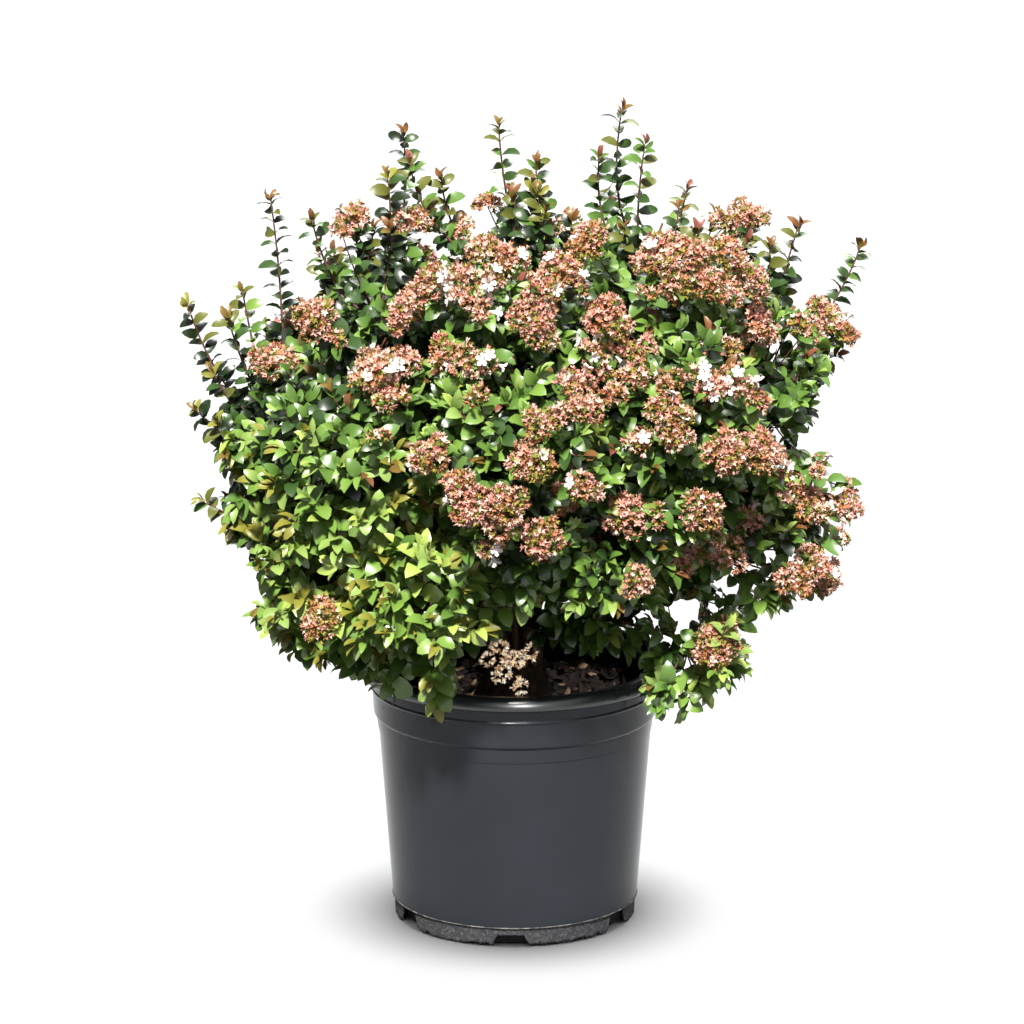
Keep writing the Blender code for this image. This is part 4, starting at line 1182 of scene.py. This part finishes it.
def grow_low_sprays(growth, rng):
    """Sprays low over the pot and at the crown's lower edges, and dried blossom in the shade."""
    for sideways, height in LOW_SPRAYS:
        tip = from_view(sideways, height, LOW_SPRAY_DEPTH)
        mass = mass_nearest(tip)
        root, _ = spot_on(cane_points(mass, 12), 0.35)
        points = arched(root, tip, 0.5, 0.012, 6)
        # Their depth of 0.7 darkens these sprays' leaves as painted shade.
        grow_leafy(growth, mass.tier, points, SPRAY_TWIG, 0.7, rng, bare=0.4, slack=None)
    for place in EDGE_SPRAYS:
        tip = from_view(*place)
        root, _ = spot_on(stem_points(mass_nearest(tip)), 0.6)
        points = arched(root, tip, 0.55, -0.008, 6)
        grow_leafy(growth, "skirt", points, SPRAY_TWIG, 0.1, rng, bare=0.4, slack=None)
    for sideways, height, size in DRIED_HEADS:
        tip = from_view(sideways, height, DRIED_HEAD_DEPTH)
        root = Vector((tip.x * 0.8, -0.02, ROOT_CROWN_TOP - 0.001))
        growth.add_twig("skirt", bend(root, Vector((tip.x, -0.04, tip.z + 0.012)), tip, 6), SPRAY_TWIG)
        first = len(growth.sepals)
        grow_tuft(growth, tip, Vector((0, -0.6, 0.8)), HEAD_RADIUS * size, 0.0, rng)
        growth.dried += [sepal._replace(colour=rng.choice((0, 1, 1, 2))) for sepal in growth.sepals[first:]]
        del growth.sepals[first:]


def grow_shoot(growth, shoot, rng, companions=True):
    """A long shoot with small paired leaves, and shorter companions that make its foot bushy."""
    tip = Vector((shoot.x, shoot.y, shoot.height))
    away = Vector((shoot.x, shoot.y, 0)).normalized()
    rising = (UP + away * shoot.lean).normalized()
    base = tip - rising * shoot.length
    mass = mass_nearest(base)
    root, _ = spot_on(stem_points(mass), 0.72)
    top = tip - rising * (HEAD_RADIUS * 0.9 if shoot.blossom else SHOOT_LEAVES.length * 0.5)
    whole = bend(root, base.lerp(top, 0.15), top, 13)
    leaves = {"kind": SHOOT_LEAVES, "bare": 0.2}
    if shoot.blossom:
        blossom_head(growth, top, rising, 0.85, 1, rng)
    grow_leafy(growth, mass.tier, whole, SHOOT_STEM, 0.1, rng, topped=shoot.blossom, slack=None, **leaves)
    for share in (0.42, 0.66) if companions else ():
        across = turned(rising, rng.uniform(0, math.tau))
        end = base + rising * shoot.length * share * rng.uniform(0.85, 1.05)
        end += across * rng.uniform(0.012, 0.022)
        if not shows_sky(end, 0.03):
            points = bend(spot_on(whole, 0.45)[0], base.lerp(end, 0.4), end, 7)
            grow_leafy(growth, mass.tier, points, INNER_TWIG, 0.1, rng, slack=0.04, **leaves)


def grow_crown(rng):
    """Grow the whole crown. All of it draws from one random stream, so its order matters."""
    growth = Growth()
    for mass in MASSES:
        grow_mass(growth, mass, rng)
    grow_front_heads(growth, rng)
    for shoot in all_shoots():
        grow_shoot(growth, shoot, rng)
    for shoot in SIDE_SHOOTS:
        grow_shoot(growth, shoot, rng, companions=False)
    grow_low_sprays(growth, rng)
    return growth


def make_blades(name, blades, most, shapes, surfaces, *nodes):
    """The meshes of some blades, in numbered pieces small enough to stay under 200,000 triangles."""
    for part, first in enumerate(range(0, len(blades), most)):
        mesh = blades_mesh(f"{name}_{part + 1}", blades[first : first + most], shapes)
        finish_piece(mesh, surfaces, "foliage", *nodes)


def make_foliage():
    """The crown's meshes, each kind apart, leaves and twigs tier by tier."""
    growth = grow_crown(random.Random(SEED))
    leaf_surfaces = plain_materials("leaf_", LEAF_COLOURS, 0.33, 0.70)
    leaf_surfaces += plain_materials("tip_", TIP_COLOURS, 0.40)
    leaf_surfaces += plain_materials("leaf_", SHOOT_COLOURS, 0.40, 0.4)
    twig_surface = plain_material("twig_bark", (92, 58, 44), 0.7)
    for tier, blades in growth.leaves.items():
        nodes = [f"foliage_{mass.name}" for mass in MASSES if mass.tier == tier]
        make_blades(f"leaves_{tier}", blades, PIECE_LEAVES, LEAF_SHAPES, leaf_surfaces, *nodes)
    for tier, runs in growth.twigs.items():
        finish_piece(tubes_mesh(f"twigs_{tier}", runs, TWIG_SIDES), [twig_surface], "bark")
    sepal_surfaces = plain_materials("calyx_", BLOSSOM_COLOURS, 0.6, 0.2)
    dried_surfaces = plain_materials("dried_", DRIED_COLOURS, 0.8)
    finish_piece(blades_mesh("dried_blossom", growth.dried, SEPAL_SHAPES), dried_surfaces, "foliage")
    make_blades("calyces", growth.sepals, PIECE_SEPALS, SEPAL_SHAPES, sepal_surfaces)
    petals = plain_materials("petal_", PETAL_COLOURS, 0.5)
    finish_piece(blades_mesh("flowers", growth.flowers, [flower_shape()]), petals, "foliage")


# Stage


def make_stage():
    """A plain pale floor, soft light from all round, and a key light from high in front."""
    mesh = bpy.data.meshes.new("floor")
    corners = [(x * FLOOR_HALF, y * FLOOR_HALF, 0) for x, y in ((-1, -1), (1, -1), (1, 1), (-1, 1))]
    mesh.from_pydata(corners, [], [(0, 1, 2, 3)])
    mesh.materials.append(plain_material("floor", FLOOR_COLOUR, 0.9, specular=0.0))
    floor = bpy.data.objects.new("floor", mesh)
    floor.visible_diffuse = False
    bpy.context.scene.collection.objects.link(floor)

    world = bpy.data.worlds.new("studio")
    world.use_nodes = True
    tree = world.node_tree
    sky = tree.nodes["Background"]
    place, split, ramp = new_nodes(tree, "TexCoord", "SeparateXYZ", "ValToRGB")
    set_ramp(ramp, (0.0, 0.9), (ROOM_LOW, ROOM_HIGH))
    join(tree, (place, "Generated", split, "Vector"), (split, "Z", ramp, "Fac"))
    join(tree, (ramp, "Color", sky, "Color"))
    sky.inputs["Strength"].default_value = ROOM_STRENGTH
    bpy.context.scene.world = world

    groups = {
        name: light_group(name, state, prefixes)
        for name, state, prefixes in (
            ("floor_only", "INCLUDE", "floor"),
            ("all_but_floor", "EXCLUDE", "floor"),
            ("pot_only", "INCLUDE", "pot_"),
            ("litter_only", "INCLUDE", ("bark_chips", "dried_blossom")),
        )
    }
    for name, direction, strength, softness, group in SUNS:
        sun = add_sun(name, direction, strength, softness, groups[group])
        if name == "key":
            sun.data.color = KEY_COLOUR
        if group == "floor_only":
            sun.light_linking.blocker_collection = groups["pot_only"]


def light_group(name, state, prefixes):
    """A group of objects by how their names start, that a light is kept to or leaves out."""
    group = bpy.data.collections.new(name)
    for obj in bpy.data.objects:
        if obj.name.startswith(prefixes):
            group.objects.link(obj)
    for entry in group.collection_objects:
        entry.light_linking.link_state = state
    return group


def add_sun(name, direction, strength, softness, receivers):
    """A far light that shines from a direction, its softness as its width in degrees."""
    light = bpy.data.lights.new(name, "SUN")
    light.energy = strength
    light.angle = math.radians(softness)
    sun = bpy.data.objects.new(name, light)
    sun.rotation_euler = Vector(direction).to_track_quat("Z", "Y").to_euler()
    sun.light_linking.receiver_collection = receivers
    bpy.context.scene.collection.objects.link(sun)
    return sun


def make_camera():
    """The photograph's view: level with the plant's middle, a little from above, with a long lens."""
    data = bpy.data.cameras.new("camera")
    data.sensor_width = SENSOR_WIDTH
    data.lens = SENSOR_WIDTH * CAMERA_DISTANCE / VIEW_WIDTH
    data.clip_end = 60.0
    camera = bpy.data.objects.new("camera", data)
    back = Vector((0, -math.cos(CAMERA_ELEVATION), math.sin(CAMERA_ELEVATION)))
    camera.location = CAMERA_TARGET + back * CAMERA_DISTANCE
    camera.rotation_euler = (-back).to_track_quat("-Z", "Y").to_euler()
    bpy.context.scene.collection.objects.link(camera)
    bpy.context.scene.camera = camera


def main():
    """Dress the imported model."""
    make_camera()
    make_pot()
    make_soil(random.Random(SEED))
    make_foliage()
    make_wood()
    make_stage()
    bpy.context.scene.view_settings.view_transform = "Standard"


main()
